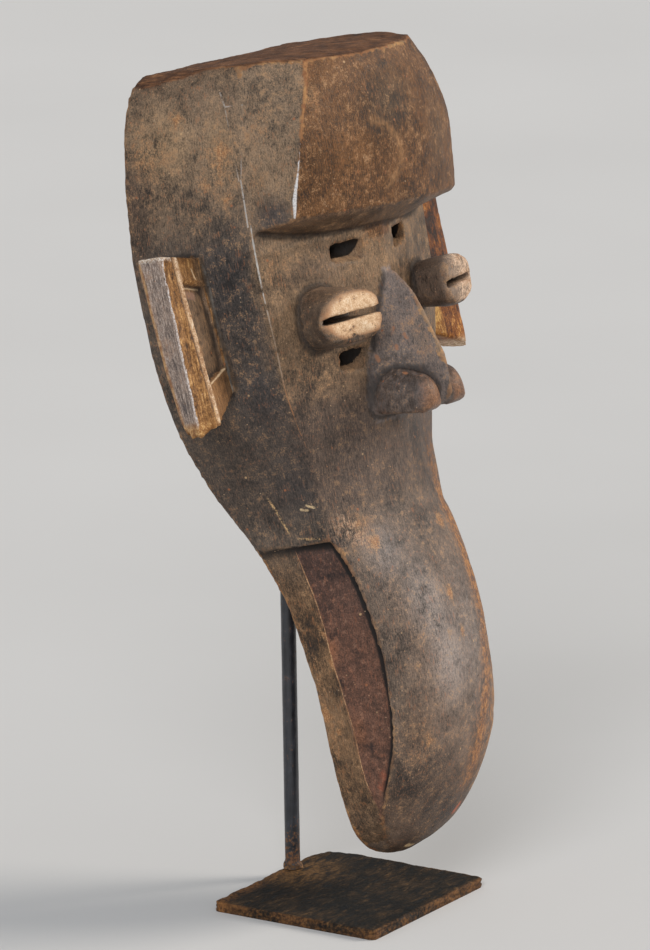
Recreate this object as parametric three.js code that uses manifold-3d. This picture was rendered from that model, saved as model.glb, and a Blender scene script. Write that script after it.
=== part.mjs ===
// A long-billed wooden face mask on its steel display stand.
//
// Frame: millimetres, +Z up, origin at the centre of the underside of the base plate.
// The mask looks along -Y, its own right side is at -X.
//
// The mask is carved from one block: overhanging forehead, shallow V-shaped face, two tubular
// eyes with slits, nose with two nostril bulbs, strap-shaped ears, long spoon-shaped bill with
// a cut-back mouth along each side, and a hollowed back with four viewing holes.
// It is modelled in its own upright frame (x = its left, f = forward, h = up), then leaned
// back and turned on the rod that carries it.
import * as THREE from 'three';
import { mergeVertices } from 'three/addons/utils/BufferGeometryUtils.js';
import Module from 'manifold-3d';

const wasm = await Module();
wasm.setup();

// ---------------------------------------------------------------- driving dimensions
const PLATE_W = 98.4;            // along X
const PLATE_D = 87.0;            // along Y
const PLATE_T = 5.0;
const PLATE_CORNER = 2.5;        // corner radius
const ROD_D = 7.0;
const ROD_X = 14.4;              // foot of the rod on the plate
const ROD_Y = 39.6;
const ROD_LEAN = 1.1;            // degrees, top goes back
const ROD_LEN = 366;             // along its axis, from the plate
const SOCKET_GAP = 0.35;         // clearance of the blind hole in the wood round the rod
const WELD_R = 6.0;              // weld bead round the rod's foot
const WELD_H = 3.2;

const MASK_ORIGIN = [14.36, 39.81, 1.93]; // point of the mask frame under the rod
const MASK_YAW = 2.0;            // degrees, turned towards its right
const MASK_LEAN = 13.0;          // degrees, leaned back

const TIP_H = 8.0;               // lowest point of the bill
const TOP_H = 388;               // blank height before the top is cut off
const MOUTH_TOP = 161.0;         // stop cut between cheek and mouth
const CHEEK_PROUD = 1.3;         // how far the cheek stands over the strip below it
const WALL = 9.5;                // wood left beside the hollow
const HOLLOW_BOTTOM = 168;
const HOLLOW_TOP = 345;
const BROW_H = 304.5;            // lower edge of the forehead block at the midline
const BROW_ROLL = 0.062;         // the brow edge drops towards the mask's left
const EYE_X = 44.6, EYE_H = 262, EYE_FRONT_W = 34, EYE_FRONT_H = 22.5;
const SLIT_H = 3.0, SLIT_DEPTH = 15;
const TOP_BACK = 380.7, TOP_ROLL = 0.034, TOP_FALL = 0.0013;  // cut of the head's top: height, roll, fall to the front
const NOSE_APEX_H = 275, NOSE_TIP_H = 217, NOSE_TIP_F = 139.6;
const EAR_TOP = 306.5, EAR_BOTTOM = 221;

// ---------------------------------------------------------------- helpers
// smooth curve through a few named stations [height, value]
function profile(...st) {
  const n = st.length, d = [], m = [];
  for (let i = 0; i < n - 1; i++) d.push((st[i + 1][1] - st[i][1]) / (st[i + 1][0] - st[i][0]));
  for (let i = 0; i < n; i++) {
    if (i === 0) m.push(d[0]);
    else if (i === n - 1) m.push(d[n - 2]);
    else m.push(d[i - 1] * d[i] <= 0 ? 0 : (2 * d[i - 1] * d[i]) / (d[i - 1] + d[i]));
  }
  return (h) => {
    if (h <= st[0][0]) return st[0][1];
    if (h >= st[n - 1][0]) return st[n - 1][1];
    let i = 0;
    while (h > st[i + 1][0]) i++;
    const w = st[i + 1][0] - st[i][0], t = (h - st[i][0]) / w, t2 = t * t, t3 = t2 * t;
    return st[i][1] * (2 * t3 - 3 * t2 + 1) + m[i] * w * (t3 - 2 * t2 + t)
      + st[i + 1][1] * (3 * t2 - 2 * t3) + m[i + 1] * w * (t3 - t2);
  };
}
const lerp = (a, b, t) => a + (b - a) * t;

// closed solid through a row of rings with equally many points, ends closed round their centre
function loft(rings) {
  const n = rings[0].length, pos = [], idx = [];
  for (const r of rings) for (const p of r) pos.push(...p);
  for (let k = 0; k < rings.length - 1; k++) {
    for (let j = 0; j < n; j++) {
      const a = k * n + j, b = k * n + ((j + 1) % n), c = a + n, d = b + n;
      idx.push(a, b, d, a, d, c);
    }
  }
  for (const k of [0, rings.length - 1]) {
    const c = [0, 1, 2].map((q) => rings[k].reduce((s, p) => s + p[q], 0) / n);
    const ci = pos.length / 3;
    pos.push(...c);
    for (let j = 0; j < n; j++) {
      const a = k * n + j, b = k * n + ((j + 1) % n);
      if (k === 0) idx.push(ci, b, a); else idx.push(ci, a, b);
    }
  }
  const g = new THREE.BufferGeometry();
  g.setAttribute('position', new THREE.Float32BufferAttribute(pos, 3));
  g.setIndex(idx);
  return g;
}
function toSolid(geometry) {
  let g = geometry.clone();
  for (const name of Object.keys(g.attributes)) if (name !== 'position') g.deleteAttribute(name);
  g = mergeVertices(g, 1e-4);
  const make = (tri) => new wasm.Manifold(new wasm.Mesh({
    numProp: 3, vertProperties: new Float32Array(g.attributes.position.array), triVerts: tri,
  }));
  const tri = new Uint32Array(g.index.array);
  let s = make(tri);
  if (s.volume() < 0) {
    for (let i = 0; i < tri.length; i += 3) [tri[i], tri[i + 1]] = [tri[i + 1], tri[i]];
    s = make(tri);
  }
  return s;
}
function toGeometry(solid) {
  const m = solid.getMesh(), g = new THREE.BufferGeometry();
  const p = new Float32Array(m.numVert * 3);
  for (let i = 0; i < m.numVert; i++) for (let k = 0; k < 3; k++) p[3 * i + k] = m.vertProperties[i * m.numProp + k];
  g.setAttribute('position', new THREE.BufferAttribute(p, 3));
  g.setIndex(new THREE.BufferAttribute(new Uint32Array(m.triVerts), 1));
  g.computeVertexNormals();
  return g;
}
// the mask frame (x, f, h) is right-handed as (x, -f, h)
const P = (x, f, h) => [x, -f, h];
const block = (x0, x1, f0, f1, h0, h1) => {
  const g = new THREE.BoxGeometry(x1 - x0, f1 - f0, h1 - h0);
  g.translate((x0 + x1) / 2, -(f0 + f1) / 2, (h0 + h1) / 2);
  return g;
};

// ---------------------------------------------------------------- profiles of the head and bill
// front edge: lip of the bill, then the corner between face and side of the head
const edgeX = profile([8, 5], [10, 15], [13, 22], [16.7, 27.5], [22, 33], [28, 37.5], [34, 40.5], [46, 43.3],
  [57, 43.8], [86, 43.5], [106, 43.7], [123, 44.2], [143, 45.3], [157, 47.6], [186, 48], [202, 51], [217, 57],
  [235, 62.5], [258, 66], [281, 68], [300, 68.5], [327, 67], [345, 65], [366, 62], [376, 60], [382, 57.5], [388, 55]);
const edgeF = profile([8, 67.2], [10, 70], [13, 73.5], [16.7, 77], [22, 80.3], [28, 83.2], [34, 86.3], [46, 92.6],
  [57, 97.6], [70, 101.5], [86, 103.5], [106, 103.8], [123, 102.4], [143, 98.3], [157, 93.4], [163, 90.8],
  [186, 90.6], [202, 91.6], [235, 93.6], [258, 95.4], [300, 95.8], [345, 97.5], [381, 100]);
// back edge: back of the bill, then the rim of the hollow
const backX = profile([8, 5.5], [10.7, 18], [15.5, 28.5], [24, 36], [35, 39.5], [52, 42], [88, 44], [121, 46],
  [146, 49.5], [167, 55], [190, 64], [219, 74], [238, 79], [262, 83], [299, 84], [317, 82], [340, 78], [361, 72.5],
  [372, 68], [378, 64], [381, 59], [384, 51], [388, 48]);
const backF = profile([8, 65], [50, 65.3], [88, 65.2], [105, 63.7], [121, 61.9], [134, 60.6], [146, 57.6],
  [156, 54.8], [167, 51.1], [178, 47.4], [190, 43.8], [205, 40.8], [219, 38.9], [238, 38.6], [317, 38.6],
  [361, 39.8], [372, 41.2], [381, 43.5]);
// front of the bill and face on the midline
const midF = profile([8, 68.4], [10, 72.5], [13, 78.5], [16.7, 83.5], [22, 89], [28, 94], [34, 98.5], [46, 105],
  [57, 109.5], [70, 113.2], [86, 115.6], [106, 116.4], [123, 115.3], [143, 112.3], [157, 109], [175, 106.5],
  [190, 106.3], [202, 107.4], [217, 110.3], [235, 113.3], [258, 116], [275, 117.3], [300, 119], [381, 121]);
// 1 = straight-sided V, 2.3 = round crown
const crown = profile([8, 2.3], [120, 2.3], [160, 2.0], [190, 1.6], [215, 1.25], [240, 1.12], [381, 1.1]);
// corner line inside the mouth, where its painted floor starts
const lineX = profile([30, 38.8], [35, 40.6], [43, 42.6], [51, 43.2], [76, 44], [104, 45], [135, 46], [161, 50]);
const lineF = profile([30, 83], [35, 85], [43, 84], [51, 82.3], [76, 81.3], [90, 79.9], [104, 78.6], [121, 77.3],
  [135, 75.8], [147, 74.2], [161, 72.7]);
const mouthDepth = profile([30, 0.1], [36, 1.0], [48, 4.2], [62, 6.2], [90, 7], [150, 6.6], [161, 6.2]);
const bulge = profile([160, 0.5], [190, 1.5], [220, 3.5], [250, 5.0], [300, 5.0], [330, 3.5], [381, 1.5]);

const faceF = (x, h) => {
  const t = Math.min(1, Math.abs(x) / edgeX(h));
  return midF(h) - (midF(h) - edgeF(h)) * Math.pow(t, crown(h));
};
const FRONT = 9;                          // steps from the edge to the midline
function section(h, grow = 0) {
  const xb = backX(h), fb = backF(h), xe = edgeX(h), fe = edgeF(h);
  const half = [];
  const trough = h < 150 ? 1.5 * Math.min(1, (h - TIP_H) / 30) : 0;   // shallow channel down the back of the bill
  half.push([0, fb + trough], [xb * 0.55, fb + trough * 0.6], [xb, fb]);
  if (h > MOUTH_TOP) {
    const proud = CHEEK_PROUD * Math.max(0, 1 - (h - MOUTH_TOP) / 16);
    const nx = fe - fb, nf = -(xe - xb), nl = Math.hypot(nx, nf);
    for (const s of [0.2, 0.45, 0.7, 0.9]) {
      const b = bulge(h) * 4 * s * (1 - s) + proud;
      half.push([lerp(xb, xe, s) + (b * nx) / nl, lerp(fb, fe, s) + (b * nf) / nl]);
    }
  } else {
    const xl = h < 30 ? lerp(xb, xe, 0.55) : lineX(h), fl = h < 30 ? lerp(fb, fe, 0.55) : lineF(h);
    const dep = h < 30 ? 0 : mouthDepth(h);
    const xd = xe - dep, fd = fe - 0.6;
    half.push([lerp(xb, xl, 0.5), lerp(fb, fl, 0.5)], [xl, fl], [lerp(xl, xd, 0.5), lerp(fl, fd, 0.5)], [xd, fd]);
  }
  for (let i = 0; i <= FRONT; i++) {
    const t = 1 - i / FRONT;
    half.push([xe * t, faceF(xe * t, h)]);
  }
  const ring = half.map(([x, f]) => P(x, f, h));
  for (let i = half.length - 2; i > 0; i--) ring.push(P(-half[i][0], half[i][1], h));
  return ring;
}
function stations() {
  const hs = [8, 9, 10.5, 13, 16.5, 21, 26, 31, 35, 40, 46];
  for (let h = 55; h < 150; h += 10) hs.push(h);
  hs.push(154, MOUTH_TOP - 0.4, MOUTH_TOP + 0.4, 166, 172);
  for (let h = 180; h < 370; h += 9) hs.push(h);
  hs.push(373, 377, 380.5, 384, TOP_H);
  return hs;
}
const bodyRings = stations().map((h) => section(h));
const body = toSolid(loft(bodyRings));

// ---------------------------------------------------------------- forehead block
const creaseX = profile([296, 65.3], [310, 65.5], [330, 62.8], [342, 59.8], [351, 56], [360, 51.4], [369, 46.2], [378, 41], [388, 35]);
const creaseF = profile([296, 117.2], [310, 118.7], [320, 120.2], [330, 122.8], [342, 124.9], [360, 125.6], [378, 123.2], [388, 119]);
const foreF = profile([296, 131], [305, 132.2], [320, 135], [345, 138.2], [365, 137.6], [378, 134.8], [388, 131]);
function forehead() {
  const N = 16, rings = [];
  const levels = [0, 0.06, 0.16, 0.28, 0.4, 0.52, 0.64, 0.76, 0.88, 0.96, 1];
  for (const q of levels) {
    const ring = [];
    const top = 386;
    for (let i = 0; i <= N; i++) {                       // front, from the mask's right to its left
      const s = -1 + (2 * i) / N;
      const x66 = 66.5 * s;
      const low = BROW_H - BROW_ROLL * x66 + 1.3 * s * s;
      const h = lerp(low, top, q);
      const x = s * creaseX(h);
      let f = lerp(foreF(h), creaseF(h), s * s);
      if (q === 0) f -= 2.0;                             // softened lower arris
      if (q === 1) f -= 1.2;
      ring.push(P(x, f, h + (q === 0 ? -0.6 : 0)));
    }
    for (let i = N; i >= 0; i--) {                       // back, buried in the head
      const s = -1 + (2 * i) / N;
      const h0 = 294.5 - BROW_ROLL * 66 * s + 8.5 * Math.pow(Math.abs(s), 3);
      const h = lerp(h0, top, q);
      const end = Math.abs(s) > 0.999, xe = edgeX(h) - (end ? 0.45 : 1.5);
      ring.push(P(xe * s, end ? edgeF(h) - 0.7 : faceF(xe * s, h) - 5, h));
    }
    rings.push(ring);
  }
  // closed with strips between front and back, which follow the slanting underside
  const n = rings[0].length, pos = [], idx = [];
  for (const r of rings) for (const p of r) pos.push(...p);
  for (let k = 0; k < rings.length - 1; k++) for (let j = 0; j < n; j++) {
    const a = k * n + j, b = k * n + ((j + 1) % n);
    idx.push(a, b, b + n, a, b + n, a + n);
  }
  for (const k of [0, rings.length - 1]) for (let j = 0; j < N; j++) {
    const a = k * n + j, b = a + 1, c = k * n + (n - 2 - j), d = k * n + (n - 1 - j);
    if (k === 0) idx.push(a, c, b, a, d, c); else idx.push(a, b, c, a, c, d);
  }
  const g = new THREE.BufferGeometry();
  g.setAttribute('position', new THREE.Float32BufferAttribute(pos, 3));
  g.setIndex(idx);
  return toSolid(g);
}

// everything above the sloping top of the head
const topH = (x, f) => TOP_BACK - TOP_ROLL * x - TOP_FALL * Math.pow(Math.max(0, f - 75), 2);
function aboveTop() {
  const rings = [];
  for (let f = 20; f <= 160; f += f < 60 ? 20 : 10) {
    rings.push([P(-110, f, topH(-110, f)), P(110, f, topH(110, f)), P(110, f, 430), P(-110, f, 430)]);
  }
  return toSolid(loft(rings));
}

// ---------------------------------------------------------------- nose, eyes, ears
const noseRidge = profile([NOSE_TIP_H - 6, 130], [NOSE_TIP_H - 3, 137], [NOSE_TIP_H, NOSE_TIP_F], [222, 139.4], [231.6, 138.4],
  [246, 133.4], [265, 126], [NOSE_APEX_H, 119.5]);
const noseHalf = profile([209, 14], [217, 18.5], [231, 17.5], [246, 13.5], [265, 7], [NOSE_APEX_H, 3.4]);
function nose() {
  const rings = [];
  for (const h of [NOSE_TIP_H - 6, NOSE_TIP_H - 4, NOSE_TIP_H - 2, NOSE_TIP_H, 222, 227, 232, 239, 246, 255, 265, 271, NOSE_APEX_H]) {
    const r = noseRidge(h), w = noseHalf(h), ring = [];
    const base = Math.min(faceF(w, h), faceF(w, h)) - 5;
    ring.push(P(-w * 0.9, base, h));
    for (const [t, k] of [[-1, 0.14], [-0.62, 0.42], [-0.3, 0.72], [-0.13, 0.93], [0, 1], [0.13, 0.93], [0.3, 0.72], [0.62, 0.42], [1, 0.14]])
      ring.push(P(w * t, lerp(base, r, k), h));
    ring.push(P(w * 0.9, base, h));
    rings.push(ring);
  }
  return toSolid(loft(rings));
}
// bulb of one nostril: a rounded horizontal roll from the cheek out to beside the nose tip
function nostril(side) {
  const a = new THREE.Vector3(side * 9.6, -98, 221), b = new THREE.Vector3(side * 9.9, -129.3, 220.2);
  const rings = [], M = 16, R = 9.3;
  const dir = b.clone().sub(a), len = dir.length(); dir.normalize();
  const up = new THREE.Vector3(0, 0, 1), across = new THREE.Vector3().crossVectors(dir, up).normalize();
  const size = profile([0, 8.2], [8, 8.8], [20, R + 0.2], [len, R - 0.6]);
  for (const s of [0, 5, 10, 16, 23, len, len + 2.8, len + 5.2, len + 7, len + 8.2, len + 8.6]) {
    const u = Math.max(0, s - len) / 8.7, r = size(s) * Math.sqrt(Math.max(0.02, 1 - u * u));
    const ring = [], c = a.clone().addScaledVector(dir, s);
    for (let j = 0; j < M; j++) {
      const t = (2 * Math.PI * j) / M, cy = Math.cos(t), cz = Math.sin(t);
      const q = c.clone().addScaledVector(across, r * 0.95 * cy).addScaledVector(up, r * cz * (cz < 0 ? 1.0 : 1.16));
      ring.push([q.x, q.y, q.z]);
    }
    rings.push(ring);
  }
  return toSolid(loft(rings));
}
// tubular eye, a little flared, its end turned outwards, cut by a deep slit
function eye(side) {
  const rings = [], M = 22;
  const spec = [ // [step from root 0 to end 1, centre x, half width, half height, exponent]
    [-0.35, 41.2, 9.6, 14.8, 2.4], [0.0, 41.4, 10.0, 14.4, 2.4], [0.4, 42.6, 12.4, 13.4, 2.5], [0.75, 43.9, 15.3, 12.4, 2.5],
    [0.92, EYE_X, EYE_FRONT_W / 2, EYE_FRONT_H / 2 + 0.2, 2.4], [1.0, EYE_X - 0.3, EYE_FRONT_W / 2 - 2, EYE_FRONT_H / 2 - 1.8, 2.3],
  ];
  for (const [t, cx, rx, rh, e] of spec) {
    const ring = [];
    for (let j = 0; j < M; j++) {
      const w = (2 * Math.PI * j) / M, c = Math.cos(w), s = Math.sin(w);
      const dx = rx * Math.sign(c) * Math.pow(Math.abs(c), 2 / e);
      const point = c > 0 ? 1 - 0.25 * t * t * c * c : 1;   // the end is a little pointed on its outer side
      const dh = rh * Math.sign(s) * Math.pow(Math.abs(s), 2 / e) * Math.max(0.6, point);
      const x = cx + dx;
      const root = faceF(x, EYE_H) - 1, end = 125.3 - 0.272 * (x - EYE_X);
      ring.push(P(side * x, lerp(root, end, t), EYE_H + dh));
    }
    rings.push(ring);
  }
  let s = toSolid(loft(rings));
  // slit, level, along the outward-turned end
  const lo = EYE_H - SLIT_H / 2, hi = EYE_H + SLIT_H / 2;
  const g = loft([[-SLIT_DEPTH, -12.5, 5.5], [-3, -17, 14.5], [8, -21, 23]].map(([f, a, b]) =>
    [P(side * a, f, lo), P(side * b, f, lo), P(side * b, f, hi), P(side * a, f, hi)]));
  g.rotateZ(side * Math.atan(0.272));
  g.translate(side * EYE_X, -125.3, 0);
  return { body: s, slit: toSolid(g) };
}
// strap-shaped ear: flat outer face, bevel that widens downwards, front plane running into the cheek
function ear(side) {
  const rows = [
    // [height, outer back x f, outer front x f, ridge x f, front foot x f, back foot x f]
    [EAR_TOP + 2, 108, 59, 110, 75, 105, 75.2, 72, 72.5, 72, 52],
    [285, 108, 60.5, 110.3, 75.5, 104.9, 77, 72, 72.5, 72, 53],
    [250, 107.3, 63, 110.2, 76.2, 104.2, 80.6, 71, 73, 71, 55],
    [232, 106.4, 65, 110, 76.6, 103.6, 82.2, 70, 73.5, 70, 57],
    [EAR_BOTTOM - 4, 105.6, 67, 109.4, 76.6, 103, 82.2, 68, 73.5, 68, 59],
  ];
  const rings = rows.map(([h, ...v]) => {
    const ring = [];
    for (let i = 0; i < v.length; i += 2) ring.push(P(side * v[i], v[i + 1], h));
    return ring;
  });
  let s = toSolid(loft(rings));
  // slanting underside, from the cheek down to the lobe, and a small chip behind the lobe
  const cut = new THREE.BoxGeometry(90, 60, 30);
  cut.translate(0, 0, -15);
  cut.rotateY(side * Math.atan2(15, 34));
  cut.translate(side * 93, -70, 229.5);
  s = s.subtract(toSolid(cut));
  const top = new THREE.BoxGeometry(90, 60, 30);
  top.translate(0, 0, 15);
  top.rotateY(-side * Math.atan2(7, 34));
  top.translate(side * 93, -70, 303);
  return s.subtract(toSolid(top));
}

// ---------------------------------------------------------------- hollow back
function hollow() {
  const rings = [];
  for (const h of [HOLLOW_BOTTOM, 176, 186, 200, 215, 232, 255, 280, 305, 325, 338, HOLLOW_TOP]) {
    const e = h < 200 ? Math.sqrt(Math.max(0, (h - HOLLOW_BOTTOM) / (200 - HOLLOW_BOTTOM))) : h > 325 ? Math.sqrt(Math.max(0, 1 - Math.pow((h - 325) / (HOLLOW_TOP - 325), 2))) : 1;
    const xr = backX(h) - WALL, fr = backF(h);
    const xd = Math.max(8, (edgeX(h) - WALL - 4) * (0.72 + 0.28 * e));
    const deepMid = lerp(fr + 4, midF(h) - 15, h < 200 ? e : lerp(0.82, 1, e)), deepEdge = lerp(fr + 3, edgeF(h) - 9, h < 200 ? e : lerp(0.82, 1, e));
    const rightSide = [[xr + 1.5, fr - 12], [xr, fr + 1], [lerp(xr, xd, 0.42) + 1.5, lerp(fr, deepEdge, 0.5)], [xd, deepEdge - 3], [xd * 0.86, deepEdge + 0.6], [xd * 0.45, lerp(deepEdge, deepMid, 0.62)], [0, deepMid]];
    const ring = rightSide.map(([x, f]) => P(x, f, h));
    for (let i = rightSide.length - 2; i >= 0; i--) ring.push(P(-rightSide[i][0], rightSide[i][1], h));
    rings.push(ring);
  }
  return toSolid(loft(rings));
}
// rectangular viewing holes beside the nose bridge and under the eyes
const HOLES = [[12.5, 30, 283.8, 292.8], [17.5, 32, 235, 244.5]];

// ---------------------------------------------------------------- rod and plate
const rodTop = new THREE.Vector3(0, Math.sin((ROD_LEAN * Math.PI) / 180), Math.cos((ROD_LEAN * Math.PI) / 180));
function rodShaft(diameter, length, extra = 0) {
  const g = new THREE.CylinderGeometry(diameter / 2, diameter / 2, length + extra, 20);
  g.rotateX(Math.PI / 2);
  g.translate(0, 0, (length - extra) / 2);
  g.rotateX((-ROD_LEAN * Math.PI) / 180);
  g.translate(ROD_X, ROD_Y, PLATE_T);
  return g;
}

// ---------------------------------------------------------------- assembly
const maskFrame = new THREE.Group();
maskFrame.position.set(...MASK_ORIGIN);
// x axis of the mask is turned about +Z by -yaw, then the top leans back
maskFrame.rotation.set(0, 0, 0);
maskFrame.rotation.order = 'ZXY';
maskFrame.rotation.z = (-MASK_YAW * Math.PI) / 180;
maskFrame.rotation.x = (-MASK_LEAN * Math.PI) / 180;
maskFrame.updateMatrix();

let mask = body.add(forehead()).add(nose());
for (const side of [-1, 1]) {
  mask = mask.add(nostril(side)).add(ear(side));
  const e = eye(side);
  mask = mask.add(e.body).subtract(e.slit);
}
mask = mask.subtract(aboveTop()).subtract(hollow());
for (const side of [-1, 1]) for (const [x0, x1, h0, h1] of HOLES) {
  mask = mask.subtract(toSolid(block(Math.min(side * x0, side * x1), Math.max(side * x0, side * x1), 60, 121, h0, h1)));
}
const socket = rodShaft(ROD_D + 2 * SOCKET_GAP, ROD_LEN + SOCKET_GAP);
socket.applyMatrix4(maskFrame.matrix.clone().invert());
mask = mask.subtract(toSolid(socket));

const wood = new THREE.MeshStandardMaterial({ color: 0x4a3a2e, roughness: 0.62, metalness: 0 });
const steel = new THREE.MeshStandardMaterial({ color: 0x1d2126, roughness: 0.38, metalness: 0.7 });
const rust = new THREE.MeshStandardMaterial({ color: 0x3a2c22, roughness: 0.8, metalness: 0.35 });

const maskMesh = new THREE.Mesh(toGeometry(mask), wood);
maskMesh.name = 'mask';
maskFrame.add(maskMesh);

// the rod with its weld bead, trimmed flat where it stands on the plate
const weldPts = [[0, -1], [WELD_R, -1], [WELD_R, 0.4], [WELD_R * 0.9, 1.5], [WELD_R * 0.74, 2.4], [ROD_D / 2 + 0.1, WELD_H], [0, WELD_H]];
const weld = new THREE.LatheGeometry(weldPts.map(([r, z]) => new THREE.Vector2(r, z)), 20);
weld.rotateX(Math.PI / 2);
weld.translate(ROD_X, ROD_Y, PLATE_T);
const under = new THREE.BoxGeometry(60, 60, 30);
under.translate(ROD_X, ROD_Y, PLATE_T + 0.02 - 15);
const behind = new THREE.BoxGeometry(60, 20, 9);
behind.translate(ROD_X, PLATE_D / 2 - 0.1 + 10, PLATE_T + 2.5);
const rodSolid = toSolid(rodShaft(ROD_D, ROD_LEN, 4)).add(toSolid(weld).subtract(toSolid(behind))).subtract(toSolid(under));
const rod = new THREE.Mesh(toGeometry(rodSolid), steel);
rod.name = 'rod';

const outline = new THREE.Shape();
{
  const w = PLATE_W / 2, d = PLATE_D / 2, r = PLATE_CORNER;
  outline.moveTo(-w + r, -d);
  outline.lineTo(w - r, -d); outline.quadraticCurveTo(w, -d, w, -d + r);
  outline.lineTo(w, d - r); outline.quadraticCurveTo(w, d, w - r, d);
  outline.lineTo(-w + r, d); outline.quadraticCurveTo(-w, d, -w, d - r);
  outline.lineTo(-w, -d + r); outline.quadraticCurveTo(-w, -d, -w + r, -d);
}
const plate = new THREE.Mesh(new THREE.ExtrudeGeometry(outline, {
  depth: PLATE_T - 1.2, bevelEnabled: true, bevelThickness: 0.6, bevelSize: 0.6, bevelOffset: -0.6, bevelSegments: 1, curveSegments: 3,
}), rust);
plate.geometry.translate(0, 0, 0.6);
plate.name = 'base_plate';

const stand = new THREE.Group();
stand.add(plate, rod);
const object = new THREE.Group();
object.add(stand, maskFrame);
export default object;
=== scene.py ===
import math
import bpy
import bmesh
import numpy as np
from mathutils import Matrix, Vector


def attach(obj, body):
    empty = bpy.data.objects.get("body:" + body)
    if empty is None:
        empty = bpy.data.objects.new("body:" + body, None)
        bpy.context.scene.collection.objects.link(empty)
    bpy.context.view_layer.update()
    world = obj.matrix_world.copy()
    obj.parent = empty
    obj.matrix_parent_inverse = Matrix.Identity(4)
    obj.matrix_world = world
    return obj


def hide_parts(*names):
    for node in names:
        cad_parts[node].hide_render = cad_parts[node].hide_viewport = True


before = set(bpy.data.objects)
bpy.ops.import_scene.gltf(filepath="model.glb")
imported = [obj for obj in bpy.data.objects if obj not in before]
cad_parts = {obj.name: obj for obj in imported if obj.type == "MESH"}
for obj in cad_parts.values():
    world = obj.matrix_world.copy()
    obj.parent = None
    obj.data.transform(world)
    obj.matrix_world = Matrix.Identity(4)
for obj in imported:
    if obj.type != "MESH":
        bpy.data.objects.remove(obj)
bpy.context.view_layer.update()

rng = np.random.default_rng(7)

# ------------------------------------------------------------------ sizes, in millimetres
PLATE_W, PLATE_D, PLATE_T = 98.4, 87.0, 5.0
ROD_D, ROD_X, ROD_Y, ROD_LEAN, ROD_LEN, SOCKET_GAP = 7.0, 14.4, 39.6, 1.1, 366.0, 0.35
MASK_ORIGIN = (14.36, 39.81, 1.93)
MASK_YAW, MASK_LEAN = 2.0, 13.0
TIP_H, TOP_H, MOUTH_TOP, CHEEK_PROUD = 8.0, 388.0, 161.0, 1.3
WALL, HOLLOW_BOTTOM, HOLLOW_TOP = 9.5, 168.0, 345.0
BROW_H, BROW_ROLL = 304.5, 0.062
EYE_X, EYE_H, EYE_FRONT_W, EYE_FRONT_H = 44.6, 262.0, 34.0, 22.5
SLIT_H, SLIT_DEPTH = 3.0, 15.0
TOP_BACK, TOP_ROLL, TOP_FALL = 380.7, 0.034, 0.0013
NOSE_APEX_H, NOSE_TIP_H, NOSE_TIP_F = 275.0, 217.0, 139.6
EAR_TOP, EAR_BOTTOM = 306.5, 221.0
HOLES = ((12.5, 30, 283.8, 292.8), (17.5, 32, 235, 244.5))

VOXEL = 0.00095
MASK_TRIS = 192000


# ------------------------------------------------------------------ profiles of the head and bill
def profile(*st):
    """smooth monotone curve through a few named stations (height, value)"""
    X = np.array([s[0] for s in st], float)
    Y = np.array([s[1] for s in st], float)
    d = np.diff(Y) / np.diff(X)
    m = np.empty(len(X))
    m[0], m[-1] = d[0], d[-1]
    for i in range(1, len(X) - 1):
        m[i] = 0.0 if d[i - 1] * d[i] <= 0 else 2 * d[i - 1] * d[i] / (d[i - 1] + d[i])

    def f(h):
        h = np.clip(np.asarray(h, float), X[0], X[-1])
        i = np.clip(np.searchsorted(X, h) - 1, 0, len(X) - 2)
        w = X[i + 1] - X[i]
        t = (h - X[i]) / w
        t2, t3 = t * t, t * t * t
        return (Y[i] * (2 * t3 - 3 * t2 + 1) + m[i] * w * (t3 - 2 * t2 + t)
                + Y[i + 1] * (3 * t2 - 2 * t3) + m[i + 1] * w * (t3 - t2))
    return f


lerp = lambda a, b, t: a + (b - a) * t

edgeX = profile((8, 5), (10, 15), (13, 22), (16.7, 27.5), (22, 33), (28, 37.5), (34, 40.5), (46, 43.3),
                (57, 43.8), (86, 43.5), (106, 43.7), (123, 44.2), (143, 45.3), (157, 47.6), (186, 48), (202, 51),
                (217, 57), (235, 62.5), (258, 66), (281, 68), (300, 68.5), (327, 67), (345, 65), (366, 62),
                (376, 60), (382, 57.5), (388, 55))
edgeF = profile((8, 67.2), (10, 70), (13, 73.5), (16.7, 77), (22, 80.3), (28, 83.2), (34, 86.3), (46, 92.6),
                (57, 97.6), (70, 101.5), (86, 103.5), (106, 103.8), (123, 102.4), (143, 98.3), (157, 93.4),
                (163, 90.8), (186, 90.6), (202, 91.6), (235, 93.6), (258, 95.4), (300, 95.8), (345, 97.5), (381, 100))
backX = profile((8, 5.5), (10.7, 18), (15.5, 28.5), (24, 36), (35, 39.5), (52, 42), (88, 44), (121, 46),
                (146, 49.5), (167, 55), (190, 64), (219, 74), (238, 79), (262, 83), (299, 84), (317, 82),
                (340, 78), (361, 72.5), (372, 68), (378, 64), (381, 59), (384, 51), (388, 48))
backF = profile((8, 65), (50, 65.3), (88, 65.2), (105, 63.7), (121, 61.9), (134, 60.6), (146, 57.6),
                (156, 54.8), (167, 51.1), (178, 47.4), (190, 43.8), (205, 40.8), (219, 38.9), (238, 38.6),
                (317, 38.6), (361, 39.8), (372, 41.2), (381, 43.5))
midF = profile((8, 68.4), (10, 72.5), (13, 78.5), (16.7, 83.5), (22, 89), (28, 94), (34, 98.5), (46, 105),
               (57, 109.5), (70, 113.2), (86, 115.6), (106, 116.4), (123, 115.3), (143, 112.3), (157, 109),
               (175, 106.5), (190, 106.3), (202, 107.4), (217, 110.3), (235, 113.3), (258, 116), (275, 117.3),
               (300, 119), (381, 121))
crown = profile((8, 2.3), (120, 2.3), (160, 2.0), (190, 1.6), (215, 1.25), (240, 1.12), (381, 1.1))
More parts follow.
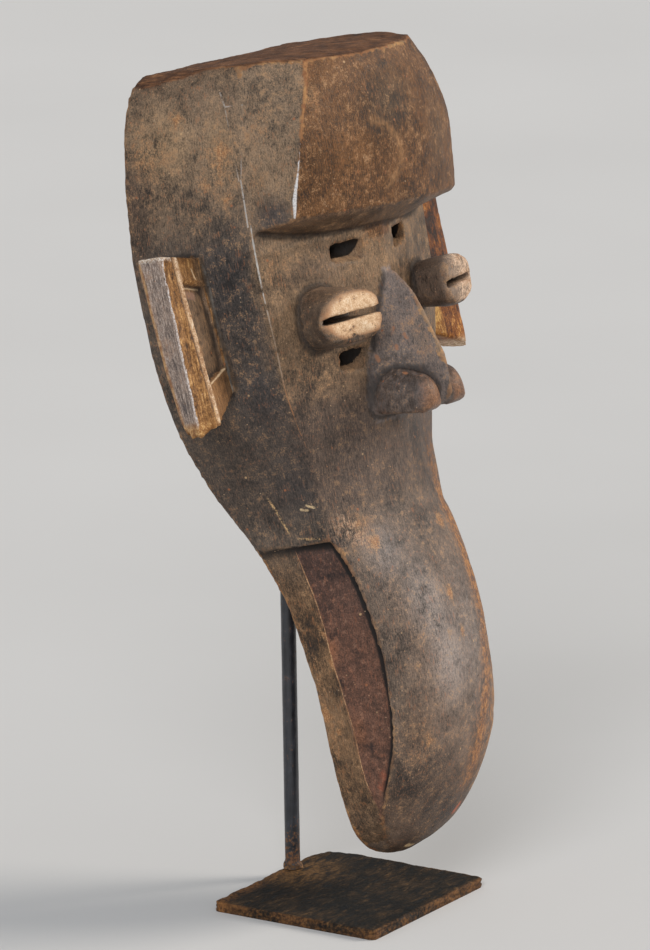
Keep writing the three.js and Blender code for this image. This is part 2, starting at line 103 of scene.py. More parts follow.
lineX = profile((30, 38.8), (35, 40.6), (43, 42.6), (51, 43.2), (76, 44), (104, 45), (135, 46), (161, 50))
lineF = profile((30, 83), (35, 85), (43, 84), (51, 82.3), (76, 81.3), (90, 79.9), (104, 78.6), (121, 77.3),
                (135, 75.8), (147, 74.2), (161, 72.7))
mouthDepth = profile((30, 0.1), (36, 1.0), (48, 4.2), (62, 6.2), (90, 7), (150, 6.6), (161, 6.2))
bulge = profile((160, 0.5), (190, 1.5), (220, 3.5), (250, 5.0), (300, 5.0), (330, 3.5), (381, 1.5))
creaseX = profile((296, 65.3), (310, 65.5), (330, 62.8), (342, 59.8), (351, 56), (360, 51.4), (369, 46.2),
                  (378, 41), (388, 35))
creaseF = profile((296, 117.2), (310, 118.7), (320, 120.2), (330, 122.8), (342, 124.9), (360, 125.6),
                  (378, 123.2), (388, 119))
foreF = profile((296, 131), (305, 132.2), (320, 135), (345, 138.2), (365, 137.6), (378, 134.8), (388, 131))
noseRidge = profile((NOSE_TIP_H - 6, 130), (NOSE_TIP_H - 3, 137), (NOSE_TIP_H, NOSE_TIP_F), (222, 139.4),
                    (231.6, 138.4), (246, 133.4), (265, 126), (NOSE_APEX_H, 119.5))
noseHalf = profile((209, 14), (217, 18.5), (231, 17.5), (246, 13.5), (265, 7), (NOSE_APEX_H, 3.4))


def faceF(x, h):
    t = np.minimum(1, np.abs(x) / edgeX(h))
    return midF(h) - (midF(h) - edgeF(h)) * np.power(t, crown(h))


topH = lambda x, f: TOP_BACK - TOP_ROLL * x - TOP_FALL * np.maximum(0, f - 75) ** 2


# ------------------------------------------------------------------ meshes from rings
def mesh_object(name, verts, faces):
    me = bpy.data.meshes.new(name)
    me.from_pydata([tuple(v) for v in verts], [], [tuple(int(i) for i in f) for f in faces])
    me.update()
    ob = bpy.data.objects.new(name, me)
    bpy.context.scene.collection.objects.link(ob)
    return ob


def outward(ob):
    bm = bmesh.new()
    bm.from_mesh(ob.data)
    bmesh.ops.remove_doubles(bm, verts=bm.verts, dist=1e-7)
    bmesh.ops.dissolve_degenerate(bm, edges=bm.edges, dist=1e-7)
    bmesh.ops.recalc_face_normals(bm, faces=bm.faces)
    if bm.calc_volume(signed=True) < 0:
        bmesh.ops.reverse_faces(bm, faces=bm.faces)
    bmesh.ops.triangulate(bm, faces=bm.faces)
    bm.to_mesh(ob.data)
    bm.free()
    return ob


def loft(name, rings, strip=None):
    """closed mesh through rings of equally many points (x, f, h in mm); the ends close round their centres,
    or with strips between the first strip+1 points and the rest"""
    R = np.array(rings, float)
    K, n = R.shape[:2]
    P = R.reshape(-1, 3)
    V = np.stack([P[:, 0], -P[:, 1], P[:, 2]], 1) * 0.001
    F = []
    j = np.arange(n)
    for k in range(K - 1):
        a, b = k * n + j, k * n + (j + 1) % n
        F += np.stack([a, b, b + n, a + n], 1).tolist()
    V = V.tolist()
    for k in (0, K - 1):
        if strip is None:
            c = np.array(V[k * n:(k + 1) * n]).mean(0).tolist()
            ci = len(V)
            V.append(c)
            for q in range(n):
                a, b = k * n + q, k * n + (q + 1) % n
                F.append([ci, b, a] if k == 0 else [ci, a, b])
        else:
            for q in range(strip):
                a, b = k * n + q, k * n + q + 1
                c, d = k * n + (n - 2 - q), k * n + (n - 1 - q)
                F.append([a, d, c, b] if k == 0 else [a, b, c, d])
    return outward(mesh_object(name, V, F))


def box(name, x0, x1, f0, f1, h0, h1, move=None):
    V = [(x, -f, h) for h in (h0, h1) for f in (f0, f1) for x in (x0, x1)]
    V = np.array(V) * 0.001
    F = [(0, 1, 3, 2), (4, 6, 7, 5), (0, 4, 5, 1), (2, 3, 7, 6), (0, 2, 6, 4), (1, 5, 7, 3)]
    ob = mesh_object(name, V.tolist(), F)
    if move is not None:
        ob.data.transform(move)
    return outward(ob)


def combine(base, others, how):
    for o in others:
        m = base.modifiers.new("b", "BOOLEAN")
        m.operation = how
        m.solver = "MANIFOLD"
        m.object = o
        apply(base)
        bpy.data.objects.remove(o)
    return base


def apply(ob):
    dg = bpy.context.evaluated_depsgraph_get()
    me = bpy.data.meshes.new_from_object(ob.evaluated_get(dg), depsgraph=dg)
    ob.modifiers.clear()
    old = ob.data
    ob.data = me
    bpy.data.meshes.remove(old)
    return ob


# ------------------------------------------------------------------ head and bill
def body():
    hs = [8, 8.5, 9.2, 10, 11, 12.2, 13.6, 15, 16.8, 18.6, 20.5]
    hs += list(np.arange(22.5, 158, 2.0)) + [158.5, 159.6, MOUTH_TOP - 0.35, MOUTH_TOP + 0.35, 162.4, 163.6, 165]
    hs += list(np.arange(167, 386, 2.0)) + [386.4, TOP_H]
    rings = []
    for h in hs:
        xb, fb, xe, fe = backX(h), backF(h), edgeX(h), edgeF(h)
        half = []
        trough = 1.5 * min(1, (h - TIP_H) / 30) if h < 150 else 0
        for t in np.linspace(0, 1, 9):
            half.append((xb * t, fb + trough * (1 - t ** 2.2)))
        if h > MOUTH_TOP:
            proud = CHEEK_PROUD * max(0, 1 - (h - MOUTH_TOP) / 16)
            nx, nf = fe - fb, -(xe - xb)
            nl = math.hypot(nx, nf)
            for s in np.linspace(0, 1, 22)[1:-1]:
                b = bulge(h) * 4 * s * (1 - s) + proud * min(1, 6 * s, 6 * (1 - s))
                half.append((lerp(xb, xe, s) + b * nx / nl, lerp(fb, fe, s) + b * nf / nl))
        else:
            xl = lerp(xb, xe, 0.55) if h < 30 else lineX(h)
            fl = lerp(fb, fe, 0.55) if h < 30 else lineF(h)
            dep = 0 if h < 30 else mouthDepth(h)
            xd, fd = xe - dep, fe - 0.6
            for s in np.linspace(0, 1, 10)[1:]:
                half.append((lerp(xb, xl, s), lerp(fb, fl, s)))
            for s in np.linspace(0, 1, 12)[1:]:
                half.append((lerp(xl, xd, s) + (0.25 * dep) * 4 * s * (1 - s) * 0.35, lerp(fl, fd, s)))
        for t in np.linspace(1, 0, 40):
            half.append((xe * t, faceF(xe * t, h)))
        ring = [(x, f, h) for x, f in half] + [(-x, f, h) for x, f in half[-2:0:-1]]
        rings.append(ring)
    return loft("mask", rings)


def forehead():
    N, rings = 40, []
    for q in (0, .02, .05, .1, .16, .22, .28, .34, .4, .46, .52, .58, .64, .7, .76, .82, .88, .93, .97, 1):
        ring = []
        for i in range(N + 1):
            s = -1 + 2 * i / N
            low = BROW_H - BROW_ROLL * 66.5 * s + 1.3 * s * s
            h = lerp(low, 386, q)
            x = s * creaseX(h)
            f = lerp(foreF(h), creaseF(h), s * s)
            if q == 0:
                f -= 2.0
            if q == 1:
                f -= 1.2
            ring.append((x, f, h - (0.6 if q == 0 else 0)))
        for i in range(N, -1, -1):
            s = -1 + 2 * i / N
            h0 = 294.5 - BROW_ROLL * 66 * s + 8.5 * abs(s) ** 3
            h = lerp(h0, 386, q)
            end = abs(s) > 0.999
            xe = edgeX(h) - (0.45 if end else 1.5)
            ring.append((xe * s, (edgeF(h) - 0.7) if end else faceF(xe * s, h) - 5, h))
        rings.append(ring)
    return loft("forehead", rings, strip=N)


def above_top():
    rings = []
    for f in np.arange(20, 161, 5.0):
        rings.append([(-110, f, topH(-110, f)), (110, f, topH(110, f)), (110, f, 430), (-110, f, 430)])
    return loft("above_top", rings)


def nose():
    rings = []
    T = ((-1, .14), (-.8, .27), (-.62, .42), (-.45, .575), (-.3, .72), (-.2, .84), (-.13, .93), (-.06, .985), (0, 1))
    T = T + tuple((-t, k) for t, k in T[-2::-1])
    for h in np.r_[NOSE_TIP_H - 6, NOSE_TIP_H - 5, NOSE_TIP_H - 4, NOSE_TIP_H - 3, NOSE_TIP_H - 2, NOSE_TIP_H - 1,
                   NOSE_TIP_H, np.arange(219, 274, 2.5), NOSE_APEX_H]:
        r = noseRidge(h) + np.interp(h, [222, 236, 250, 264, 272], [0.3, 1.8, 2.8, 2.6, 1.4])
        w = noseHalf(h) + np.interp(h, [240, 256, 268, 272], [0, 1.0, 2.2, 2.4])
        base = faceF(w, h) - 5
        ring = [(-w * 0.9, base, h)] + [(w * t, lerp(base, r, k), h) for t, k in T] + [(w * 0.9, base, h)]
        rings.append(ring)
    return loft("nose", rings)


def nostril(side):
    a, b = np.array([side * 9.6, 98, 222.6]), np.array([side * 9.9, 129.3, 219.5])
    M, R = 40, 9.3
    d = b - a
    length = np.linalg.norm(d)
    d /= length
    up = np.array([0, 0, 1.0])
    across = np.cross(d, up)
    across /= np.linalg.norm(across)
    size = profile((0, 4.2), (6, 6.6), (14, 8.6), (22, R + 0.2), (length, R - 0.5))
    rings = []
    for s in list(np.linspace(0, length, 16)) + [length + v for v in (1, 2, 3, 4, 5, 5.8, 6.6, 7.3, 7.9, 8.3, 8.6)]:
        u = max(0, s - length) / 8.7
        k = math.sqrt(max(0.004, 1 - u * u))
        r = size(s) * k
        c = a + d * s + up * (-R + size(s) * (0.5 + 0.32 * (1 - k)))
        ring = []
        for j in range(M):
            t = 2 * math.pi * j / M
            cy, cz = math.cos(t), math.sin(t)
            if cz < 0:
                ring.append(c + across * r * 0.97 * math.copysign(abs(cy) ** 0.45, cy) - up * r * 0.5 * abs(cz) ** 0.45)
            else:
                ring.append(c + across * r * 0.97 * math.copysign(abs(cy) ** 0.9, cy) + up * r * 1.62 * cz ** 0.95)
        rings.append(ring)
    return loft("nostril", rings)


def eye(side):
    M, rings = 64, []
    spec = np.array([(-0.35, 41.2, 9.6, 14.8, 2.4), (0.0, 41.4, 10.0, 14.4, 2.4), (0.4, 42.6, 12.4, 13.4, 2.5),
                     (0.75, 43.9, 15.3, 12.4, 2.5), (0.92, EYE_X, EYE_FRONT_W / 2, EYE_FRONT_H / 2 + 0.2, 2.4),
                     (0.97, EYE_X - 0.1, EYE_FRONT_W / 2 - 0.6, EYE_FRONT_H / 2 - 0.5, 2.35),
                     (1.0, EYE_X - 0.3, EYE_FRONT_W / 2 - 2, EYE_FRONT_H / 2 - 1.8, 2.3)])
    ts = [-0.35, -0.15, 0, 0.1, 0.2, 0.3, 0.4, 0.5, 0.6, 0.7, 0.8, 0.87, 0.92, 0.95, 0.975, 1.0]
    for t in ts:
        cx, rx, rh, e = (np.interp(t, spec[:, 0], spec[:, k]) for k in (1, 2, 3, 4))
        ring = []
        for j in range(M):
            w = 2 * math.pi * j / M
            c, s = math.cos(w), math.sin(w)
            dx = rx * math.copysign(abs(c) ** (2 / e), c)
            if c > 0 and side < 0:
                tt = max(0, t) ** 1.5
                e2 = lerp(e, 1.62, tt)
                dx = rx * abs(c) ** (2 / e2)
                dh = rh * math.copysign(abs(s) ** (2 / e2), s)
            elif c > 0:
                dx = rx * abs(c) ** (2 / 3.0)
                dh = rh * math.copysign(abs(s) ** (2 / 3.0), s) * (1 - 0.12 * max(0, t) * c * c)
            else:
                e3 = lerp(e, 3.3, max(0, t))
                dx = rx * math.copysign(abs(c) ** (2 / e3), c)
                dh = rh * math.copysign(abs(s) ** (2 / e3), s)
            if s < 0 and side < 0:
                dh *= 1 + 0.24 * max(0, t) ** 2
            elif s < 0:
                dh *= 1 - 0.06 * max(0, t)
            if side > 0:
                dh *= float(np.interp(t, [-0.35, 0, 0.4, 0.75, 1], [0.68, 0.72, 0.84, 0.95, 1.0]))
            x = cx + dx
            root, end = faceF(x, EYE_H) - 1, 125.3 - 0.272 * (x - EYE_X)
            if side < 0:
                end -= 1.25 * max(0, -dh - 9.6) + 0.5 * max(0, dh - 9.8)
            ring.append((side * x, lerp(root, end, t), EYE_H + dh))
        rings.append(ring)
    lo, hi = EYE_H - SLIT_H / 2, EYE_H + SLIT_H / 2
    cut = []
    reach = ((-SLIT_DEPTH, -12.5, 7.5), (-3, -17.6, 16.2), (8, -21, 24)) if side < 0 else \
        ((-SLIT_DEPTH, -8.0, 5.5), (-4.5, -14.0, 14.5), (8, -23, 23))
    for f, a, b in reach:
        q = []
        for x, h in ((a, lo), (b, lo), (b, hi), (a, hi)):
            X, Y = side * x, -f
            an = side * math.atan(0.272)
            X, Y = X * math.cos(an) - Y * math.sin(an), X * math.sin(an) + Y * math.cos(an)
            q.append((X + side * EYE_X, -(Y - 125.3), h))
        cut.append(q)
    return loft("eye", rings), loft("slit", cut)


def sight_hole(side, x0, x1, h0, h1):
    """square at the face; towards the back its floor climbs and the wall next to the nose closes in"""
    rings = []
    face = float(faceF((x0 + x1) / 2, (h0 + h1) / 2))
    for f, inner, low, high in ((60, 0.55, 0.62, 0.0), (face - 13, 0.50, 0.58, 0.0), (face - 8, 0.42, 0.46, 0.0),
                                (face - 3, 0.16, 0.16, 0.0), (face, 0, 0, 0), (121, 0, 0, 0)):
        xi = lerp(x0, x1, inner)
        hl, hh = lerp(h0, h1, low), h1 - high
        rings.append([(side * xi, f, hl), (side * x1, f, hl - (h1 - h0) * low * 0.35), (side * x1, f, hh), (side * xi, f, hh)])
    return loft("hole", rings)


def turned_box(name, size, centre0, angle, move):
    m = Matrix.Translation(Vector(move) * 0.001) @ Matrix.Rotation(angle, 4, "Y") @ Matrix.Translation(Vector(centre0) * 0.001)
    s = [v / 2 for v in size]
    return box(name, -s[0], s[0], -s[1], s[1], -s[2], s[2], m)


def ear(side):
    rows = ((EAR_TOP + 2, 108, 59, 110, 75, 105, 75.2, 72, 72.5, 72, 52),
            (285, 108, 60.5, 110.3, 75.5, 104.9, 77, 72, 72.5, 72, 53),
            (250, 107.3, 63, 110.2, 76.2, 104.2, 80.6, 71, 73, 71, 55),
            (232, 106.4, 65, 110, 76.6, 103.6, 82.2, 70, 73.5, 70, 57),
            (EAR_BOTTOM - 4, 105.6, 67, 109.4, 76.6, 103, 82.2, 68, 73.5, 68, 59))
    R = np.array(rows, float)
    hs = np.linspace(R[0, 0], R[-1, 0], 24)
    rings = []
    for h in hs:
        v = [np.interp(h, R[::-1, 0], R[::-1, k]) for k in range(1, 11)]
        rings.append([(side * v[i], v[i + 1], h) for i in range(0, 10, 2)])
    e = loft("ear", rings)
    cut = turned_box("cut", (90, 60, 30), (0, 0, -15), side * math.atan2(15, 34), (side * 93, -70, 229.5))
    top = turned_box("cut", (90, 60, 30), (0, 0, 15), -side * math.atan2(7, 34), (side * 93, -70, 303))
    return combine(e, [cut, top], "DIFFERENCE")


def hollow():
    rings = []
    for h in (168, 169, 171, 174, 178, 183, 189, 195, 200, 208, 215, 223, 232, 243, 255, 268, 280, 292, 305, 315, 325,
              332, 338, 342, 344.3, 345):
        if h < 200:
            e = math.sqrt(max(0, (h - HOLLOW_BOTTOM) / (200 - HOLLOW_BOTTOM)))
        elif h > 325:
            e = math.sqrt(max(0, 1 - ((h - 325) / (HOLLOW_TOP - 325)) ** 2))
        else:
            e = 1
        xr, fr = backX(h) - WALL, backF(h)
        xd = max(8, (edgeX(h) - WALL - 4) * (0.72 + 0.28 * e))
        k = e if h < 200 else lerp(0.82, 1, e)
        dm, de = lerp(fr + 4, midF(h) - 15, k), lerp(fr + 3, edgeF(h) - 9, k)
        side = [(xr + 1.5, fr - 12), (xr, fr + 1), (lerp(xr, xd, 0.42) + 1.5, lerp(fr, de, 0.5)), (xd, de - 3),
                (xd * 0.86, de + 0.6), (xd * 0.45, lerp(de, dm, 0.62)), (0, dm)]
        rings.append([(x, f, h) for x, f in side] + [(-x, f, h) for x, f in side[-2::-1]])
    return loft("hollow", rings)


T_MASK = (Matrix.Translation(Vector(MASK_ORIGIN) * 0.001) @ Matrix.Rotation(math.radians(-MASK_YAW), 4, "Z")
          @ Matrix.Rotation(math.radians(-MASK_LEAN), 4, "X"))


def carve_mask():
    m = body()
    parts = [forehead(), nose()]
    slits = []
    for side in (-1, 1):
        parts += [nostril(side), ear(side)]
        e, s = eye(side)
        parts.append(e)
        slits.append(s)
    combine(m, parts, "UNION")
    cuts = slits + [above_top(), hollow()]
    for side in (-1, 1):
        for x0, x1, h0, h1 in HOLES:
            cuts.append(sight_hole(side, x0, x1, h0, h1))
    combine(m, cuts, "DIFFERENCE")
    # blind hole for the rod
    top = Matrix.Translation(Vector((ROD_X, ROD_Y, PLATE_T)) * 0.001) @ Matrix.Rotation(math.radians(-ROD_LEAN), 4, "X")
    n, r, length = 32, (ROD_D / 2 + SOCKET_GAP) * 0.001, (ROD_LEN + SOCKET_GAP) * 0.001
    V = [(r * math.cos(2 * math.pi * i / n), r * math.sin(2 * math.pi * i / n), z) for z in (0, length) for i in range(n)]
    F = [[i, (i + 1) % n, n + (i + 1) % n, n + i] for i in range(n)] + [list(range(n))[::-1], [n + i for i in range(n)]]
    s = mesh_object("socket", V, F)
    s.data.transform(T_MASK.inverted() @ top)
    outward(s)
    combine(m, [s], "DIFFERENCE")
    return m


mask = carve_mask()
print("carved", len(mask.data.polygons))


# ------------------------------------------------------------------ noise on arrays of points
_grad = rng.normal(size=(4096, 3))
_grad /= np.linalg.norm(_grad, axis=1, keepdims=True)


def noise(P, seed=0):
    """gradient noise, about -1..1, at points in its own cell units"""
    P = np.asarray(P, float) + 1000.0 + 17.31 * seed
    i = np.floor(P).astype(np.int64)
    f = P - i
    u = f * f * f * (f * (f * 6 - 15) + 10)
    out = 0
    for a in (0, 1):
        wx = u[:, 0] if a else 1 - u[:, 0]
        for b in (0, 1):
            wy = u[:, 1] if b else 1 - u[:, 1]
            for c in (0, 1):
                wz = u[:, 2] if c else 1 - u[:, 2]
                k = ((i[:, 0] + a) * 73856093) ^ ((i[:, 1] + b) * 19349663) ^ ((i[:, 2] + c) * 83492791)
                g = _grad[(k ^ (k >> 13)) & 4095]
                out = out + wx * wy * wz * (g[:, 0] * (f[:, 0] - a) + g[:, 1] * (f[:, 1] - b) + g[:, 2] * (f[:, 2] - c))
    return out * 1.9


def fbm(P, octaves=3, seed=0, gain=0.5):
    s, a, t = 0, 1.0, 0
    for k in range(octaves):
        s = s + a * noise(P * 2.03 ** k, seed + 3 * k)
        t += a
        a *= gain
    return s / t


def smooth(a, b, v):
    t = np.clip((v - a) / (b - a), 0, 1)
    return t * t * (3 - 2 * t)


def bump(v, c, w):
    """1 at c, falling smoothly to 0 at c +- w"""
    return 1 - smooth(0, 1, np.abs(v - c) / w)


def blob(P, c, r):
    """1 at the centre c of an ellipsoid of half sizes r, 0 outside it"""
    q = np.sqrt((((P - np.array(c)) / np.array(r)) ** 2).sum(1))
    return 1 - smooth(0, 1, q)


def along(P, A, B, w):
    """1 on the segment A-B, 0 beyond the distance w"""
    A, B = np.array(A, float), np.array(B, float)
    d = B - A
    t = np.clip(((P - A) @ d) / (d @ d), 0, 1)
    return 1 - smooth(0, 1, np.linalg.norm(P - A - t[:, None] * d, axis=1) / w)


class Surface:
    """vertex arrays of a mesh whose own frame is (x, -f, h) in metres"""

    def __init__(self, ob):
        me = ob.data
        self.ob, self.n = ob, len(me.vertices)
        v = np.empty(self.n * 3)
        me.vertices.foreach_get("co", v)
        self.V = v.reshape(-1, 3) * 1000.0
        e = np.empty(len(me.edges) * 2, np.int64)
        me.edges.foreach_get("vertices", e)
        self.E = e.reshape(-1, 2)
        self.deg = np.bincount(self.E.ravel(), minlength=self.n).astype(float)

    def mean(self, A):
        a, b = self.E[:, 0], self.E[:, 1]
        if A.ndim == 1:
            s = np.bincount(a, A[b], self.n) + np.bincount(b, A[a], self.n)
            return s / self.deg
        return np.stack([self.mean(A[:, k]) for k in range(A.shape[1])], 1)

    def relax(self, A, times, amount=0.5):
        for _ in range(times):
            A = A + amount * (self.mean(A) - A)
        return A

    def taubin(self, times, lam=0.5, mu=-0.53):
        for _ in range(times):
            self.V = self.V + lam * (self.mean(self.V) - self.V)
            self.V = self.V + mu * (self.mean(self.V) - self.V)

    def normals(self):
        me = self.ob.data
        me.vertices.foreach_set("co", (self.V * 0.001).ravel())
        me.update()
        n = np.empty(self.n * 3)
        me.vertex_normals.foreach_get("vector", n)
        return n.reshape(-1, 3)

    def coords(self):
        """(x, f, h) in mm"""
        return np.stack([self.V[:, 0], -self.V[:, 1], self.V[:, 2]], 1)

    def store(self):
        self.ob.data.vertices.foreach_set("co", (self.V * 0.001).ravel())
        self.ob.data.update()


def convexity(S, N, times):
    """mean curvature times a length: above 0 on edges, below 0 in hollows, in mm"""
    L = S.relax(S.V, times, 0.5) - S.V
    return -(L * N).sum(1)


# ------------------------------------------------------------------ the carved surface
def remesh(ob, voxel):
    m = ob.modifiers.new("r", "REMESH")
    m.mode = "VOXEL"
    m.voxel_size = voxel
    m.adaptivity = 0
    apply(ob)


def ear_bevel(C):
    """for the ears: place across the bevel (0 at the outer face, 1 at the ridge), and on the front plane from
    the ridge (0) towards the cheek (1)"""
    x, f, h = np.abs(C[:, 0]), C[:, 1], C[:, 2]
    hs = np.array([217, 232, 250, 285, 308.5])
    ox, of_ = np.interp(h, hs, [109.4, 110, 110.2, 110.3, 110]), np.interp(h, hs, [76.6, 76.6, 76.2, 75.5, 75])
    rx, rf = np.interp(h, hs, [103, 103.6, 104.2, 104.9, 105]), np.interp(h, hs, [82.2, 82.2, 80.6, 77, 75.2])
    u = ((x - ox) * (rx - ox) + (f - of_) * (rf - of_)) / ((rx - ox) ** 2 + (rf - of_) ** 2)
    w = (rx - x) / (rx - 71)
    return u, w, rx, rf, ox, of_


def in_hollow(C, margin):
    """True for points within the carved-out space grown by a margin"""
    x, f, h = np.abs(C[:, 0]), C[:, 1], C[:, 2]
    e = np.where(h < 200, np.sqrt(np.clip((h - HOLLOW_BOTTOM) / (200 - HOLLOW_BOTTOM), 0, 1)),
                 np.sqrt(np.clip(1 - (np.clip(h - 325, 0, 100) / (HOLLOW_TOP - 325)) ** 2, 0, 1)))
    xr, fr = backX(h) - WALL, backF(h)
    xd = np.maximum(8, (edgeX(h) - WALL - 4) * (0.72 + 0.28 * e))
    k = np.where(h < 200, e, lerp(0.82, 1, e))
    dm, de = lerp(fr + 4, midF(h) - 15, k), lerp(fr + 3, edgeF(h) - 9, k)
    fs = [fr - 30, fr + 1, lerp(fr, de, 0.5), de - 3, de + 0.6, lerp(de, dm, 0.62), dm]
    xs = [xr, xr, lerp(xr, xd, 0.42) + 1.5, xd, xd * 0.86, xd * 0.45, 0 * xd]
    g = f - margin * 0.6
    w = xs[0]
    for a, b, p, q in zip(fs[:-1], fs[1:], xs[:-1], xs[1:]):
        t = np.clip((g - a) / np.maximum(0.01, b - a), 0, 1)
        w = np.where(g >= a, lerp(p, q, t), w)
    return (h > HOLLOW_BOTTOM - margin) & (h < HOLLOW_TOP + margin) & (x < w + margin) & (g < dm)


def carve_detail(S):
    C = S.coords()
    x, f, h = C[:, 0], C[:, 1], C[:, 2]
    ax = np.abs(x)
    N = S.normals()
    nx, nf, nh = N[:, 0], -N[:, 1], N[:, 2]
    D = np.zeros(S.n)
    inner = in_hollow(C, 3.0)
    outer = ~inner
    on_ear = (ax > 92) | ((ax > 84) & (h > 215) & (h < 310) & (f > 70))
    top = (nh > 0.75) & (h > 340)
    # broad unevenness left by the adze and the knife, with flat facets
    D += 0.42 * fbm(C / np.array([26, 26, 38]), 2, 1)
    facet = np.abs(noise(C / np.array([11, 11, 17]), 5))
    D += 0.20 * (0.35 - facet)
    D += 0.07 * fbm(C / np.array([3.2, 3.2, 8.0]), 2, 9)
    D[on_ear] *= 0.45
    # deeper tool marks in the hollow back
    adze = np.abs(noise(np.stack([x / 13, f / 13, h / 24], 1), 21))
    D[inner] += (-0.9 * (0.4 - adze) + 0.35 * fbm(C / 7.0, 2, 31))[inner]
    # coarse end grain on top
    D[top] += (0.34 * fbm(np.stack([x / 2.2 + f / 40, f / 9, h / 3], 1), 3, 41) + 0.3 * noise(C / np.array([9, 14, 9]), 44))[top]
    # ears: groove along the bevel, raised rib, sunk panel in the front plane
    u, w, rx, rf, ox, of_ = ear_bevel(C)
    e = (ax > 96) & (h > 222) & (h < 309) & (f > of_ - 1.0)
    past = rx - ax
    channel = np.where(u > 0.02, np.sin(np.pi * np.clip((u * 6.2 + np.clip(past, 0, 3)) / 9.4, 0, 1)) ** 1.2, 0)
    D[e] -= (np.where(x < 0, 1.5, 0.7) * channel * smooth(308, 298, h))[e]
    foot = np.interp(h, [222, 248, 282, 308], [75.5, 78.2, 81.0, 82.0])
    front = (ax > foot - 0.8) & (ax < 104.6) & (h > 222) & (h < 308) & (f > 70.5) & (nf > 0.4) & (x < 0)
    D[front] -= (0.9 * bump(ax, rx - 2.9, 1.5))[front]
    D[front] += (0.45 * bump(ax, rx - 4.7, 1.7))[front]
    lim_top = 288.5 + (ax - 84) * 0.28
    lim_low = 247.0 - (ax - 97) * 0.14
    panel = smooth(lim_low - 0.5, lim_low + 0.5, h) * smooth(lim_top + 0.5, lim_top - 0.5, h) * smooth(rx - 5.7, rx - 6.9, ax) \
        * smooth(foot - 0.3, foot + 1.0, ax)
    D[front] -= (1.9 * panel)[front]
    D[front] += (0.5 * bump(h, lim_top + 1.6, 1.6) * (ax < rx - 5))[front]
    # worn outer faces of the ears, slightly hollow across and rough along the grain
    face = (ax > 106) & (h > 222) & (h < 309) & (np.abs(nx) > 0.8)
    D[face] -= (0.35 * np.sin(np.pi * np.clip((f - 60) / 16, 0, 1)) + 0.12 * noise(C / np.array([3, 1.6, 16]), 51))[face]
    D -= 1.6 * blob(C, (-109.5, 66.0, 309.5), (5, 6.5, 3.4)) + 0.8 * blob(C, (-110, 76, 295), (2.2, 1.8, 2.2))
    # chipped lobe of the near ear
    D -= 2.2 * blob(C, (-108, 66, 224), (6, 5, 6)) + 1.2 * blob(C, (-109, 74, 223.5), (4, 3, 3.2))
    # lip edge: small nicks and missing flakes
    cv = convexity(S, N, 6)
    edge = smooth(0.10, 0.45, cv)
    lip = edge * (h < 215) * (f > 80) * np.clip(0.03 + smooth(15, 30, x) + smooth(34, 22, h), 0, 1)
    D -= lip * 0.9 * smooth(0.28, 0.62, noise(C / np.array([4.5, 4.5, 6.5]), 61))
    D -= lip * 0.6 * smooth(0.45, 0.75, noise(C / np.array([2.4, 2.4, 3.2]), 63))
    for c, r, d in (((-29, 84, 22), (4, 4, 3), 0.8), ((36, 97, 35), (4, 4, 2.5), 1.1), ((43.6, 103, 112), (3, 3, 1.6), 1.3),
                    ((43.5, 104, 131), (3, 3, 2.2), 1.0), ((43.4, 104, 86), (3, 3, 1.8), 1.2), ((42, 101, 62), (3, 3, 2), 0.9)):
        D -= d * blob(C, c, r)
    # general wear of the arrises
    D -= outer * edge * (h >= 200) * np.where(f < 60, 0.15, 0.4) * smooth(0.2, 0.7, noise(C / np.array([7, 7, 11]), 67))
    D -= outer * edge * (h >= 200) * np.where(f < 60, 0.12, 0.3) * smooth(0.4, 0.7, noise(C / 2.6, 69))
    # front-top arris of the forehead, irregular
    tf = (h > 355) & (f > 60) & (ax < 72)
    D[tf] -= (edge * 0.9 * smooth(0.1, 0.7, noise(C / np.array([6, 6, 6]), 71)))[tf]
    # rough split walls of the viewing holes
    for x0, x1, h0, h1 in HOLES:
        near = (ax > x0 - 2.5) & (ax < x1 + 2.5) & (h > h0 - 2.5) & (h < h1 + 2.5) & (f < 118) & (f > 88)
        D[near] += (0.55 * fbm(C / 2.4, 2, 73))[near]
    # cracks and knocks at the jaw, small pits
    D -= 0.9 * blob(C, (-50, 85, 176.5), (2.2, 3.0, 1.5))
    D -= 0.5 * along(C, (-51.5, 71, 179), (-50.5, 84, 165.5), 1.4) * smooth(-0.2, 0.5, noise(C / 2.2, 75))
    D -= 0.7 * blob(C, (-30, 98, 186), (1.4, 1.4, 1.4)) + 0.6 * blob(C, (-67, 98, 309), (1.5, 1.5, 1.5))
    D -= 0.55 * blob(C, (-33, 104, 157), (3.0, 2.0, 1.6)) + 0.4 * blob(C, (-36, 101, 166), (5, 3, 2))
    pits = smooth(0.72, 0.86, noise(C / 3.1, 77)) * smooth(-0.1, 0.4, noise(C / 40, 79))
    D -= outer * pits * 0.35
    # knife line under the wings of the nose, round the tubes and where the bill's lip starts
    D -= 0.5 * bump(h, 210.6, 1.6) * (ax < 22) * (f > 104) * (f < 132) * (nh < -0.2)
    # lids of the eyes: chiselled facets
    for side in (-1, 1):
        fr = (side * x > 26) & (side * x < 63) & (np.abs(h - EYE_H) < 14) & (f > 125.3 - 0.272 * (side * x - EYE_X) - 2.5)
        D[fr] -= (0.5 * np.abs(noise(C / np.array([7, 7, 5]), 81)) + 0.35 * smooth(4, 10, np.abs(h - EYE_H)))[fr]
    S.V = S.V + N * D[:, None]

